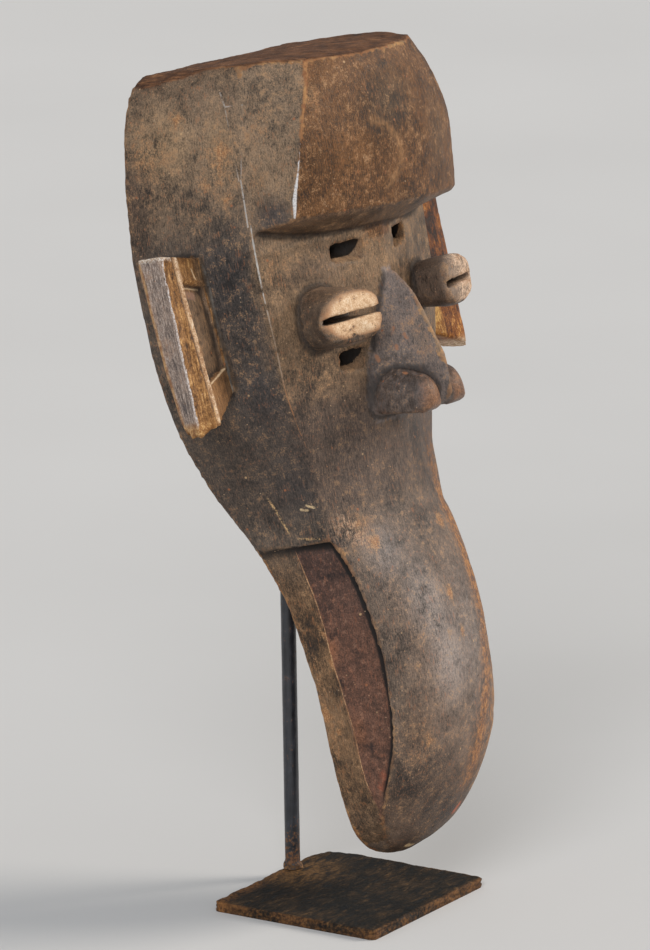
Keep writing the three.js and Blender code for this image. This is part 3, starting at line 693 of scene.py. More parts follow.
def thin(ob, S_weights, tris):
    me = ob.data
    me.calc_loop_triangles()
    n = len(me.loop_triangles)
    if n <= tris:
        return
    g = ob.vertex_groups.new(name="w")
    q = np.round(S_weights * 8).astype(int)
    for k in np.unique(q):
        g.add(np.nonzero(q == k)[0].tolist(), float(k) / 8, "REPLACE")
    m = ob.modifiers.new("d", "DECIMATE")
    m.ratio = tris / n
    m.use_collapse_triangulate = True
    m.vertex_group = "w"
    m.vertex_group_factor = 1.0
    apply(ob)
    ob.vertex_groups.clear()


def attribute(me, name, values):
    kind = "FLOAT_COLOR" if values.ndim == 2 and values.shape[1] == 4 else "FLOAT_VECTOR" if values.ndim == 2 else "FLOAT"
    a = me.attributes.new(name, kind, "POINT")
    a.data.foreach_set("color" if kind == "FLOAT_COLOR" else "vector" if kind == "FLOAT_VECTOR" else "value",
                       values.astype(np.float32).ravel())


def finish_mask(ob):
    remesh(ob, VOXEL)
    S = Surface(ob)
    print("voxels", S.n)
    S.taubin(3)
    carve_detail(S)
    S.taubin(1)
    # the thin rim round the hollow back and the lips of the mouth are worn round
    C = S.coords()
    x, f, h = C[:, 0], C[:, 1], C[:, 2]
    cv = smooth(0.05, 0.25, convexity(S, S.normals(), 5))
    rim = cv * np.maximum(((f < 66) & (h < 372)), (h < 161) & (np.abs(x) > 26) & (f > lineF(h) + 1))
    rim = np.clip(S.relax(rim, 3) * 1.6, 0, 1)[:, None]
    S.V = S.V + rim * (S.relax(S.V, 5) - S.V)
    S.store()
    C = S.coords()
    # faces that show keep more triangles than the hollow back
    thin(ob, np.where(in_hollow(C, 3.0), 1.0, 0.5), MASK_TRIS)
    return ob


finish_mask(mask)
print("mask", len(mask.data.polygons))


# ------------------------------------------------------------------ what each part of the surface is
def srgb(r, g, b):
    lin = lambda v: v / 12.92 if v <= 0.04045 else ((v + 0.055) / 1.055) ** 2.4
    return (lin(r / 255), lin(g / 255), lin(b / 255), 1.0)


def ear_edges(h):
    """how far forward the back edge of an ear's outer face lies, and how far out the ear meets the cheek"""
    return np.interp(h, [217, 232, 250, 285, 308], [67, 65, 63, 60.5, 59]), np.interp(h, [222, 248, 282, 300], [75.5, 77.6, 80.2, 80.8])


def regions(ob):
    S = Surface(ob)
    C = S.coords()
    x, f, h = C[:, 0], C[:, 1], C[:, 2]
    ax = np.abs(x)
    N = S.normals()
    nx, nf, nh = N[:, 0], -N[:, 1], N[:, 2]
    me = ob.data
    inside = S.relax(in_hollow(C, 3.0).astype(float), 2)
    out = 1 - inside
    cv1, cv2 = convexity(S, N, 4), convexity(S, N, 22)
    cv1 = S.relax(cv1, 1)
    edge = smooth(0.10, 0.42, cv1)
    wide = smooth(0.25, 1.1, cv2)
    # concavity: the shader paints shade in the hollows from it, and roughens them
    cav = np.clip(smooth(0.05, 0.45, -cv1) * 0.65 + smooth(0.15, 0.9, -cv2) * 0.75, 0, 1)
    near, far = x < 0, x > 0
    wob = 6 * fbm(C / 22.0, 3, 131)

    # main surfaces
    ear_back, ear_foot = ear_edges(h)
    on_ear = (ax > ear_foot) & (h > 216) & (h < 311) & (f > 50) & ((ax > 90) | (f > 69))
    on_ear = S.relax(on_ear.astype(float), 1)
    ex = np.where(near, -x, x) - EYE_X
    eye_front = 125.3 - 0.272 * ex
    root = faceF(EYE_X + ex, h)
    tube = (np.hypot(ex / 19.0, (h - EYE_H) / 15.5) < 1.12) & (f > root + 0.8) & (h > 240)
    tube = S.relax(tube.astype(float), 1)
    side = smooth(0.62, 0.45, nf) * (f < edgeF(h) + 0.8) * (ax > edgeX(h) - 2.0) * (h > 160)
    front = smooth(0.35, 0.6, nf) * (h > 160)
    fore = (h > 292) * (f > creaseF(h) - 1.0) * smooth(0.45, 0.7, nf) * (ax < creaseX(h) + 1.5)
    foreside = (h > 296) * (f > edgeF(h) - 1) * (1 - fore)
    under = (h > 288) & (nh < -0.55) & (f > 98) & (ax < 70)
    nose_w = noseHalf(h) * 1.05
    on_nose = (h > 208) & (h < 277) & (ax < nose_w) & (f > faceF(nose_w, h) - 1)
    bulb = ((np.abs(ax - 9.8) < 10.5) & (h > 209) & (h < 238) & (f > 109) & (f < 139)
            & (f < 130 + 14 * np.clip((ax - 3.5) / 6, 0, 1)) & ((ax > 6.0) | (h < 217)))
    strip = (h < 162) * (ax > 30) * (f < lineF(h) + 0.2)
    bill = smooth(188, 152, h) * (f > edgeF(h) - 0.4)
    top = S.relax(((nh > 0.72) & (h > 338)).astype(float), 2)
    sunk = (h < 161) & (h > 30) & (ax > 30) & (f > lineF(h) - 2.5) & (f < edgeF(h) - 0.2)
    sunk = S.relax(sunk.astype(float), 1)

    base = np.tile(np.array(srgb(96, 82, 71)[:3]), (S.n, 1))

    def lay(c, w):
        w = np.clip(w, 0, 1)[:, None]
        base[:] = base * (1 - w) + np.array(srgb(*c)[:3]) * w

    lay((118, 95, 73), front * smooth(180, 230, h))
    lay((122, 98, 74), front * smooth(268, 284, h) * (h < 300))
    # side planes darker: dark patina, partly painted shade
    lay((84, 73, 64), side * 0.95)
    lay((64, 59, 57), side * (blob(C, (-72, 78, 285), (22, 34, 44)) + blob(C, (-66, 84, 235), (20, 26, 46))
                              + blob(C, (-56, 84, 190), (18, 20, 26))) * 1.1)
    head = side * smooth(300, 322, h + wob)
    lay((120, 99, 79), head)
    lay((144, 118, 90), head * (blob(C, (-74, 62, 352), (16, 30, 30)) + blob(C, (-68, 88, 345), (14, 12, 34)) * 0.8))
    lay((84, 66, 54), side * (blob(C, (-80, 40, 330), (18, 22, 34)) * 0.9 + blob(C, (-82, 44, 296), (12, 14, 22)) * 0.6))
    lay((134, 111, 88), foreside)
    lay((70, 62, 58), foreside * blob(C, (-66, 108, 312), (14, 20, 17)) * 1.15)
    lay((99, 65, 34), fore)
    lay((84, 66, 48), fore * (blob(C, (-2, 138, 352), (26, 14, 22)) * 0.75 + blob(C, (40, 130, 330), (22, 16, 30)) * 0.5))
    lay((118, 80, 46), fore * (blob(C, (-34, 132, 334), (16, 14, 34)) * 0.7 + blob(C, (8, 138, 318), (18, 12, 16)) * 0.5))
    # painted shade on the face under the brow
    lay((84, 70, 60), front * blob(C, (-34, 102, 284), (38, 20, 14)) * 0.7)
    lay((92, 70, 52), under * 0.85)
    lay((122, 104, 88), tube * near * 0.95)
    # painted shade on the outer side of the near tube
    lay((56, 48, 43), tube * near * (ex > 0) * smooth(2, 5, eye_front - f) * 0.7)
    lay((104, 82, 64), tube * near * smooth(266, 275, h) * 0.6)
    lay((122, 105, 92), tube * far * 0.95)
    # painted shade on the underside of the far tube
    lay((70, 56, 46), tube * far * smooth(258, 251, h) * 0.8)
    lay((120, 106, 98), on_nose * 1.0)
    lay((106, 97, 93), on_nose * smooth(250, 225, h) * 0.5)
    lay((88, 76, 69), bulb * 1.0)
    lay((108, 91, 79), bill * 0.95)
    lay((92, 76, 66), front * (1 - on_nose) * (1 - bulb) * smooth(238, 214, h) * smooth(168, 184, h) * 0.85)
    # painted shade on the bill beside the near lip, and painted highlights across its middle
    lay((94, 80, 69), bill * near * smooth(-16, -4, ax - edgeX(h)) * 0.8)
    lay((142, 129, 121), bill * (blob(C, (-6, 114, 98), (20, 26, 34)) * 1.15 + blob(C, (-14, 112, 126), (18, 24, 26)) + blob(C, (-28, 105, 152), (14, 22, 18)) * 0.8 + blob(C, (16, 114, 100), (18, 30, 40)) * 0.5))
    lay((82, 64, 51), bill * (smooth(66, 34, h) * 0.9 + blob(C, (-30, 104, 70), (16, 20, 26)) * 0.8))
    lay((110, 92, 78), bill * smooth(8, 34, x) * 0.8)
    lay((110, 84, 60), strip * 1.0)
    lay((84, 70, 58), strip * (smooth(134, 156, h) * 0.8 + smooth(48, 26, h) * 0.6))
    lay((104, 76, 57), top)
    lay((84, 64, 49), inside)
    lay((58, 50, 46), far * side * 0.5)
    for x0, x1, h0, h1 in HOLES:
        lay((142, 114, 88), (ax > x0 - 0.6) * (ax < x1 + 0.6) * (h > h0 - 0.6) * (h < h1 + 0.6) * (f < faceF(ax, h) - 1.0) * (f > faceF(ax, h) - 17))

    # colours of the mouth's floor
    lay((104, 72, 57), sunk * (f > lineF(h) - 0.3))
    lay((142, 92, 62), sunk * (f > lineF(h) - 0.3) * (blob(C, (-41, 91, 149), (10, 4, 9)) + blob(C, (-44, 79, 112), (10, 5, 11)) * 0.9
                                                   + blob(C, (-42, 84, 72), (10, 5, 12)) * 0.8) * 0.8)
    lay((76, 56, 50), sunk * (f > lineF(h) - 0.3) * smooth(110, 150, h + wob) * 0.8)

    # rubbed, darkened and dusty patches: strength of warm patches, of dark ones, of fine dust
    rub, dk = np.zeros(S.n), np.zeros(S.n)
    for c, r, a in (((-70, 86, 340), (12, 12, 28), 1.0), ((-76, 52, 350), (14, 22, 20), 0.9), ((-62, 106, 352), (12, 14, 14), 0.6),
                    ((-72, 76, 318), (14, 14, 12), 0.5), ((8, 136, 330), (24, 10, 26), 0.4), ((-36, 134, 316), (26, 12, 18), 0.7),
                    ((-46, 126, 360), (9, 10, 16), 0.8), ((20, 134, 306), (34, 12, 9), 0.8),
                    ((44, 100, 150), (10, 12, 30), 0.9), ((40, 101, 120), (9, 12, 24), 0.8), ((40, 100, 60), (9, 14, 24), 0.7),
                    ((-38, 100, 166), (14, 12, 14), 0.9), ((-24, 104, 60), (22, 14, 26), 0.5), ((10, 112, 60), (26, 12, 20), 0.3),
                    ((-54, 98, 240), (14, 12, 20), 0.5), ((-58, 97, 290), (12, 10, 12), 0.7), ((-8, 117, 292), (18, 8, 12), 0.9),
                    ((26, 108, 290), (12, 12, 14), 1.0), ((-16, 100, 240), (12, 8, 10), 0.8), ((-20, 100, 278), (14, 10, 9), 0.8),
                    ((-44, 66, 60), (10, 14, 30), 0.9), ((-48, 64, 100), (10, 14, 30), 0.8), ((-50, 60, 140), (10, 12, 20), 0.5),
                    ((18, 108, 182), (14, 10, 20), 0.6), ((-3, 128, 240), (6, 14, 26), 0.55), ((-9.9, 137, 221), (7.5, 7.5, 9), 1.0),
                    ((9.9, 137, 221), (7.5, 7.5, 9), 1.0), ((-80, 34, 250), (14, 14, 60), 0.4),
                    ((4, 115, 125), (5, 7, 8), 1.5), ((6, 116, 106), (4, 7, 7), 1.3), ((19, 107, 157), (7, 9, 9), 1.4), ((12, 110, 172), (6, 8, 9), 1.0),
                    ((-45, 75.8, 120), (7, 4, 7), 1.4), ((-44, 78, 106), (7, 4, 8), 1.2), ((-44, 68, 82), (8, 6, 9), 1.5), ((-44, 73, 73), (8, 5, 6), 1.3),
                    ((-68, 88, 345), (9, 7, 12), 1.3), ((-70.7, 88, 324), (8, 8, 7), 1.1), ((-70, 68, 362), (10, 8, 8), 1.2), ((-73, 81, 331), (8, 7, 8), 1.0),
                    ((-65, 103, 330), (7, 7, 9), 0.9), ((-24, 108, 62), (9, 8, 8), 1.0), ((-30, 103, 156), (8, 7, 9), 1.3), ((-62, 60, 200), (8, 12, 8), 0.8)):
        rub = np.maximum(rub, a * blob(C, c, r))
    for c, r, a in (((-76, 44, 372), (14, 20, 12), 0.8), ((-80, 46, 330), (12, 12, 14), 0.8), ((-44, 70, 72), (6, 7, 10), 1.0),
                    ((-46, 68, 112), (5, 6, 9), 1.0), ((-30, 106, 96), (9, 12, 9), 0.8), ((-36, 98, 48), (10, 12, 12), 0.6),
                    ((-40, 80, 120), (9, 6, 9), 0.8), ((-40, 88, 66), (6, 5, 7), 0.7), ((0, 138, 342), (10, 8, 10), 0.4),
                    ((30, 112, 72), (10, 12, 12), 0.5), ((-10, 116, 128), (12, 12, 10), 0.4)):
        dk = np.maximum(dk, a * blob(C, c, r))
    far_lip = smooth(14, 34, x) * smooth(200, 188, h) * (f > 78)
    raw = np.clip(0.16 + 1.1 * far_lip + 0.2 * (h < 40) * (f > 66) + 0.42 * (h > 345) * (f > 96) + 0.14 * (h > 345)
                  + 0.42 * (on_nose > 0) * (ax < 2.2) * (h < 262) + 0.3 * bump(h, 153, 9) * near * (f > 86)
                  + 0.35 * (h < 161) * (f < 70) * near + 0.7 * far * (tube > 0.5) * (ex > 0), 0, 1.3)
    # polished places: smoother and glossier, and the shader paints a pale sheen on them
    sheen = np.clip(blob(C, (14, 112, 100), (32, 30, 62)) * 1.1 + 0.7 * blob(C, (-24, 108, 150), (26, 30, 34)) + bulb * 0.8
                    + on_nose * 0.35, 0, 1)

    # ragged worn band down the far lip, and painted shade deep in the viewing holes
    xs = np.interp(h, [20, 43, 60, 87, 105, 150, 190], [8, 12, 15, 23, 29, 31, 32])
    band_w = far * smooth(212, 166, h) * smooth(26, 44, h) * smooth(edgeF(h) - 9, edgeF(h) - 3, f) * out
    hole_shade_w = np.zeros(S.n)
    for x0, x1, h0, h1 in HOLES:
        v = (h - h0) / (h1 - h0)
        inh = (ax > x0 - 0.4) & (ax < x1 + 0.4) & (h > h0 - 0.4) & (h < h1 + 0.4) & (f < faceF(ax, h) - 1.6) & (f > 80)
        hole_shade_w = np.maximum(hole_shade_w, inh * smooth(2.8, 5.0, faceF(ax, h) - f + 5.0 * (v - 0.5)))

    # half widths of the worn lines, in mm; the pale lines on the forehead crease and the face edge are partly painted
    # highlights
    w_crease = np.interp(h, [300, 306, 311, 318, 330, 341, 352, 360, 372, 382], [0, 0, 0.75, 1.2, 0.7, 0.4, 0.5, 0.9, 1.7, 1.1]) * np.where(near, 1, 0.5)
    w_edge = np.interp(h, [196, 206, 224, 240, 262, 296, 308, 314], [0, 0.2, 0.34, 0.45, 0.4, 0.52, 0.45, 0]) * np.where(near, 1, 0.4)
    w_lip = np.interp(h, [30, 40, 70, 130, 150, 160], [0, 0.3, 0.25, 0.5, 0.9, 0.9])
    w_score = np.interp(h, [38, 48, 70, 110, 140, 156, 160], [0, 0.25, 0.36, 0.44, 0.40, 0.32, 0]) * np.where(near, 1, 0.6)
    # how far the painted shadow beside the lip reaches back from its edge, in mm
    gap = np.interp(h, [30, 42, 60, 90, 130, 150, 161], [0.0, 0.4, 0.9, 1.5, 2.5, 2.4, 1.7]) + 0.38 * mouthDepth(h)
    # painted shadow under the step of the jaw
    jaw_shadow = ((h > 155.5) & (h < 161.3) & (ax > 30) & (f < edgeF(h) - 0.5)).astype(float) * smooth(155.5, 159.5, h)

    hole = np.zeros(S.n)
    for x0, x1, h0, h1 in HOLES:
        hole = np.maximum(hole, ((ax > x0 - 0.6) & (ax < x1 + 0.6) & (h > h0 - 0.6) & (h < h1 + 0.6) & (f < faceF(ax, h) - 1.0)
                                 & (f > faceF(ax, h) - 17)).astype(float))
    u, w, rx, rf, ox, of_ = ear_bevel(C)
    face = smooth(0.5, 0.8, np.abs(nx)) * (ax > 104) * (h > 219) * (h < 312)
    attribute(me, "mc", C * 0.1)
    attribute(me, "base", np.c_[base, np.ones(S.n)])
    attribute(me, "q1", np.stack([ax - edgeX(h), f - edgeF(h), f - lineF(h)], 1))
    attribute(me, "q2", np.stack([ax - creaseX(h), f - creaseF(h), gap], 1))
    off = np.hypot(ax - ox, f - of_)
    on_face = (f < of_ + 0.2) & (np.abs(nx) > 0.6)
    attribute(me, "earc", np.stack([np.where(on_face, -off, off), rx - ax, f - ear_back], 1))
    attribute(me, "earm", np.stack([ax - ear_foot, on_ear, face], 1))
    attribute(me, "lines", np.stack([w_crease, w_edge, w_lip, w_score], 1))
    attribute(me, "wear_and_hollows", np.stack([edge, wide, cav, raw], 1))
    attribute(me, "zone", np.stack([sunk, tube, inside, top], 1))
    attribute(me, "band", np.stack([x - xs, band_w, hole_shade_w], 1))
    attribute(me, "tone", np.stack([rub, dk, sheen, hole - jaw_shadow], 1))


regions(mask)
mask.data.transform(T_MASK)
for p in mask.data.polygons:
    p.use_smooth = True


# ------------------------------------------------------------------ node helpers
class Val:
    """a socket that can be computed with"""

    def __init__(self, mat, socket):
        self.m, self.s = mat, socket

    def __add__(self, o): return self.m.math("ADD", self, o)
    def __radd__(self, o): return self.m.math("ADD", o, self)
    def __sub__(self, o): return self.m.math("SUBTRACT", self, o)
    def __rsub__(self, o): return self.m.math("SUBTRACT", o, self)
    def __rtruediv__(self, o): return self.m.math("DIVIDE", o, self)
    def __mul__(self, o): return self.m.math("MULTIPLY", self, o)
    def __rmul__(self, o): return self.m.math("MULTIPLY", o, self)
    def __truediv__(self, o): return self.m.math("DIVIDE", self, o)


class Mat:
    def __init__(self, name):
        self.mat = bpy.data.materials.new(name)
        self.mat.use_nodes = True
        self.t = self.mat.node_tree
        self.t.nodes.clear()
        self.out = self.t.nodes.new("ShaderNodeOutputMaterial")
        self.bsdf = self.t.nodes.new("ShaderNodeBsdfPrincipled")
        self.t.links.new(self.bsdf.outputs[0], self.out.inputs[0])

    def node(self, kind, **props):
        n = self.t.nodes.new(kind)
        for k, v in props.items():
            setattr(n, k, v)
        return n

    def put(self, socket, value):
        if isinstance(value, Val):
            self.t.links.new(value.s, socket)
        elif value is not None:
            socket.default_value = value

    def val(self, socket): return Val(self, socket)

    def math(self, op, a, b=None, c=None, clamp=False):
        n = self.node("ShaderNodeMath", operation=op, use_clamp=clamp)
        for i, v in enumerate((a, b, c)):
            if v is not None:
                self.put(n.inputs[i], v)
        return self.val(n.outputs[0])

    def clamp(self, a): return self.math("ADD", a, 0.0, clamp=True)
    def max(self, a, b): return self.math("MAXIMUM", a, b)
    def min(self, a, b): return self.math("MINIMUM", a, b)
    def abs(self, a): return self.math("ABSOLUTE", a)

    def step(self, a, b, v):
        """0 below a, 1 above b, smooth between (a may be above b)"""
        n = self.node("ShaderNodeMapRange", interpolation_type="SMOOTHSTEP")
        self.put(n.inputs[0], v)
        if a < b:
            n.inputs[1].default_value, n.inputs[2].default_value, n.inputs[3].default_value, n.inputs[4].default_value = a, b, 0, 1
        else:
            n.inputs[1].default_value, n.inputs[2].default_value, n.inputs[3].default_value, n.inputs[4].default_value = b, a, 1, 0
        return self.val(n.outputs[0])

    def attr(self, name):
        n = self.node("ShaderNodeAttribute", attribute_name=name)
        return n

    def vector(self, name): return self.val(self.attr(name).outputs["Vector"])

    def channels(self, name):
        n = self.attr(name)
        s = self.node("ShaderNodeSeparateColor")
        self.t.links.new(n.outputs["Color"], s.inputs[0])
        return [self.val(s.outputs[0]), self.val(s.outputs[1]), self.val(s.outputs[2]), self.val(n.outputs["Alpha"])]

    def xyz(self, v):
        s = self.node("ShaderNodeSeparateXYZ")
        self.put(s.inputs[0], v)
        return [self.val(o) for o in s.outputs]

    def vmath(self, op, a, b=None, scale=None):
        n = self.node("ShaderNodeVectorMath", operation=op)
        self.put(n.inputs[0], a)
        if b is not None:
            self.put(n.inputs[1], b)
        if scale is not None:
            self.put(n.inputs["Scale"], scale)
        return self.val(n.outputs["Value"] if op in ("LENGTH", "DOT_PRODUCT", "DISTANCE") else n.outputs[0])

    def noise(self, v, scale=1.0, detail=2.0, rough=0.5, stretch=None, turn=None, distort=0.0, offset=0.0):
        if turn is not None or stretch is not None or offset:
            n = self.node("ShaderNodeMapping")
            self.put(n.inputs[0], v)
            if turn is not None:
                n.inputs["Rotation"].default_value = turn
            if stretch is not None:
                n.inputs["Scale"].default_value = stretch
            n.inputs["Location"].default_value = (offset, offset * 0.7, offset * 0.3)
            v = self.val(n.outputs[0])
        n = self.node("ShaderNodeTexNoise")
        self.put(n.inputs["Vector"], v)
        n.inputs["Scale"].default_value = scale
        n.inputs["Detail"].default_value = detail
        n.inputs["Roughness"].default_value = rough
        n.inputs["Distortion"].default_value = distort
        return self.val(n.outputs[0])

    def cells(self, v, scale, out="Distance", random=1.0):
        n = self.node("ShaderNodeTexVoronoi")
        self.put(n.inputs["Vector"], v)
        n.inputs["Scale"].default_value = scale
        n.inputs["Randomness"].default_value = random
        return self.val(n.outputs[out]), self.val(n.outputs["Color"])

    def mix(self, fac, a, b, kind="MIX"):
        n = self.node("ShaderNodeMix", data_type="RGBA", blend_type=kind)
        n.clamp_factor = True
        self.put(n.inputs[0], fac)
        self.put(n.inputs[6], a)
        self.put(n.inputs[7], b)
        return self.val(n.outputs[2])

    def fmix(self, fac, a, b):
        n = self.node("ShaderNodeMix", data_type="FLOAT")
        n.clamp_factor = True
        self.put(n.inputs[0], fac)
        self.put(n.inputs[2], a)
        self.put(n.inputs[3], b)
        return self.val(n.outputs[0])

    def ramp(self, fac, *stops):
        n = self.node("ShaderNodeValToRGB")
        self.put(n.inputs[0], fac)
        e = n.color_ramp.elements
        while len(e) < len(stops):
            e.new(0.5)
        for i, (p, c) in enumerate(stops):
            e[i].position = p
            e[i].color = c
        return self.val(n.outputs[0])

    def combine(self, x, y, z):
        n = self.node("ShaderNodeCombineXYZ")
        for i, v in enumerate((x, y, z)):
            self.put(n.inputs[i], v)
        return self.val(n.outputs[0])

    def scale_colour(self, colour, amount):
        n = self.node("ShaderNodeVectorMath", operation="SCALE")
        self.put(n.inputs[0], colour)
        self.put(n.inputs["Scale"], amount)
        return self.val(n.outputs[0])

    def segment(self, P, A, B):
        """distance from the segment A-B, in the units of P"""
        A, B = Vector(A) * 0.1, Vector(B) * 0.1
        d = B - A
        q = self.vmath("SUBTRACT", P, tuple(A))
        t = self.math("DIVIDE", self.vmath("DOT_PRODUCT", q, tuple(d)), d.dot(d), clamp=True)
        on = self.node("ShaderNodeVectorMath", operation="SCALE")
        on.inputs[0].default_value = tuple(d)
        self.put(on.inputs["Scale"], t)
        return self.vmath("LENGTH", self.vmath("SUBTRACT", q, self.val(on.outputs[0])))

    def bump(self, height, distance, strength=1.0, below=None):
        n = self.node("ShaderNodeBump")
        n.inputs["Strength"].default_value = strength
        n.inputs["Distance"].default_value = distance
        self.put(n.inputs["Height"], height)
        if below is not None:
            self.put(n.inputs["Normal"], below)
        return self.val(n.outputs[0])

    def finish(self, colour, rough, normal, **plain):
        self.put(self.bsdf.inputs["Base Color"], colour)
        self.put(self.bsdf.inputs["Roughness"], rough)
        self.put(self.bsdf.inputs["Normal"], normal)
        for k, v in plain.items():
            self.bsdf.inputs[k.replace("_", " ")].default_value = v
        return self.mat


# ------------------------------------------------------------------ old carved wood
def wood_material():
    M = Mat("old_carved_wood")
    P = M.vector("mc")
    base = M.val(M.attr("base").outputs["Color"])
    edge, wide, cav, raw = M.channels("wear_and_hollows")
    sunk, tube, inside, top = M.channels("zone")
    rub, dk, sheen, jawhole = M.channels("tone")
    jaw_shadow = M.clamp(jawhole * -1.0)
    jawhole = M.clamp(jawhole)
    wcr, wed, wlip, wsc = M.channels("lines")
    eax, eaf, lf = M.xyz(M.vector("q1"))
    cax, caf, gap = M.xyz(M.vector("q2"))
    px, pf, ph = M.xyz(P)
    near = M.step(0.02, -0.02, px)
    far = 1.0 - near

    big = M.noise(P, 0.30, 2, 0.6)
    mid = M.noise(P, 0.95, 4, 0.66, offset=3.0)
    small = M.noise(P, 3.4, 4, 0.70, offset=7.0)
    fine = M.noise(P, 14.0, 3, 0.75, offset=11.0)
    fibre = M.noise(P, 1.0, 3, 0.70, stretch=(15, 15, 2.2))
    fibre2 = M.noise(P, 1.0, 3, 0.65, stretch=(34, 34, 5.5), offset=5.0)
    hair1 = M.noise(P, 1.0, 2, 0.55, stretch=(24, 24, 1.4), turn=(0.50, 0.36, 0.0), offset=2.0)
    hair2 = M.noise(P, 1.0, 2, 0.55, stretch=(28, 28, 1.7), turn=(-0.60, -0.28, 0.0), offset=9.0)
    z = lambda n, k: M.math("MULTIPLY_ADD", n, k, -0.5 * k)

    dark = srgb(38, 32, 30)
    tan = srgb(150, 120, 88)
    orange = srgb(146, 96, 58)
    straw = srgb(192, 144, 92)
    cream = srgb(232, 200, 158)

    # patina: tone at several scales
    lum = M.math("MAXIMUM", 1.0 + z(big, 1.7) + z(mid, 2.0) + z(small, 1.3) + z(fine, 2.2) + z(fibre, 2.0) + z(fibre2, 1.9), 0.25)
    lum = M.math("MINIMUM", lum, 2.4)
    lum = M.fmix(sheen * 0.5, lum, 1.0)
    col = M.scale_colour(base, lum)
    # warm rubbed mottling, wood showing through
    r = z(mid, 1.5) + z(small, 0.9) + z(fine, 1.0) + z(fibre, 0.8) + rub * 0.44
    rubbed = M.step(0.06, 0.66, r)
    col = M.mix(rubbed * 0.60, col, M.scale_colour(M.mix(M.step(0.42, 0.62, small), tan, orange), 1.0 + z(fine, 1.8)))
    # soot and dirt
    d = z(mid, -1.5) + z(small, -0.7) + z(fibre, -0.6) + z(big, -0.8) + dk * 0.42
    col = M.mix(M.step(0.12, 0.66, d) * 0.62 * (1.0 - sheen * 0.5), col, dark)
    # fine hair scratches and pale fibres
    hair = M.max(M.step(0.62, 0.74, hair1), M.step(0.64, 0.76, hair2)) * M.step(0.36, 0.60, big) * (1.0 - inside)
    col = M.mix(hair * 0.26, col, srgb(190, 170, 150))
    # painted sheen: pale grey on the polished places
    col = M.mix(sheen * M.step(0.40, 0.66, small) * 0.22, col, srgb(176, 168, 166))

    scuff = M.step(0.55, 0.66, small + z(fine, 0.6)) * M.step(0.40, 0.62, mid + rub * 0.12)
    col = M.mix(scuff * 0.52, col, srgb(184, 148, 110))
    rusty = M.step(0.57, 0.68, fibre + z(small, 0.5)) * M.step(0.60, 0.42, mid - rub * 0.10)
    col = M.mix(rusty * 0.50, col, srgb(152, 94, 56))
    spot = M.step(0.40, 0.30, small + z(fine, 0.6)) * M.step(0.56, 0.44, big * 0.5 + fibre * 0.5)
    col = M.mix(spot * 0.34 * (1.0 - sheen * 0.7), col, srgb(30, 26, 25))

    # bare wood where the patina has flaked
    hot = M.step(0.62, 1.25, rub + z(small, 1.2) + z(mid, 1.0) + z(fine, 1.3) + z(fibre, 1.2) - 0.12)
    col = M.mix(hot * 0.68, col, M.mix(M.step(0.36, 0.60, fine), srgb(140, 88, 50), M.mix(M.step(0.4, 0.6, fibre), srgb(176, 120, 74), srgb(206, 162, 116))))

    # painted floor of the mouth
    floor = sunk * M.step(-0.2, 0.35, lf + z(small, 1.0)) * M.step(-0.25, -0.6, eaf)
    pn = z(mid, 1.2) + z(small, 1.3) + z(fine, 0.7)
    pcol = M.scale_colour(base, M.fmix(M.step(-0.40, 0.45, pn), 0.62, 1.22) * (1.0 + z(fibre2, 2.0) + z(fine, 2.2) + z(small, 0.8)))
    pcol = M.mix(M.step(0.56, 0.66, fibre + z(small, 0.5)) * 0.5, pcol, srgb(142, 88, 62))
    pcol = M.mix(M.step(0.58, 0.70, small + z(fine, 0.4)) * 0.35, pcol, srgb(166, 128, 104))
    pcol = M.mix(M.step(0.16, 0.5, d) * 0.8, pcol, srgb(34, 27, 28))
    pcol = M.mix(hair * 0.3, pcol, srgb(176, 136, 112))
    red = M.step(0.26, 0.04, M.segment(P, (-40.5, 91.5, 51), (-40.0, 89.5, 45)) + z(small, 1.2) + z(fine, 0.6))
    pcol = M.mix(red * 0.6, pcol, M.mix(M.step(0.4, 0.6, fine), srgb(140, 74, 52), srgb(188, 116, 84)))
    col = M.mix(floor, col, pcol)
    # shadowed gap beside the lip
    g = M.step(0.7, -0.5, (eaf + gap) * -1.0 + z(mid, 0.8)) * M.step(-0.05, -0.45, eaf) * sunk
    col = M.mix(g * 0.94, col, srgb(12, 9, 9))
    # painted shadow under the step of the jaw
    col = M.mix(jaw_shadow * 0.85, col, srgb(20, 17, 16))
    score = M.step(1.0, 0.35, M.abs(lf + z(mid, 1.2)) / M.max(wsc, 0.02) + z(small, 2.6) + z(fine, 1.5)) * M.step(0.02, 0.2, wsc)
    col = M.mix(score * M.fmix(M.step(0.42, 0.58, mid), 0.5, 0.9), col, M.mix(M.step(0.4, 0.62, fine), srgb(160, 108, 70), srgb(216, 176, 132)))

    # worn arrises
    e = edge * 0.95 + wide * 0.25 + z(small, 1.6) + z(fine, 0.5)
    worn = M.step(0.40, 0.85, e + (raw - 0.6) * 0.8)
    wcol = M.mix(M.step(0.36, 0.62, mid), orange, M.mix(M.step(0.42, 0.62, small), tan, straw))
    col = M.mix(worn * M.clamp(raw * 0.95 + 0.12) * (1.0 - sunk * 0.7), col, wcol)

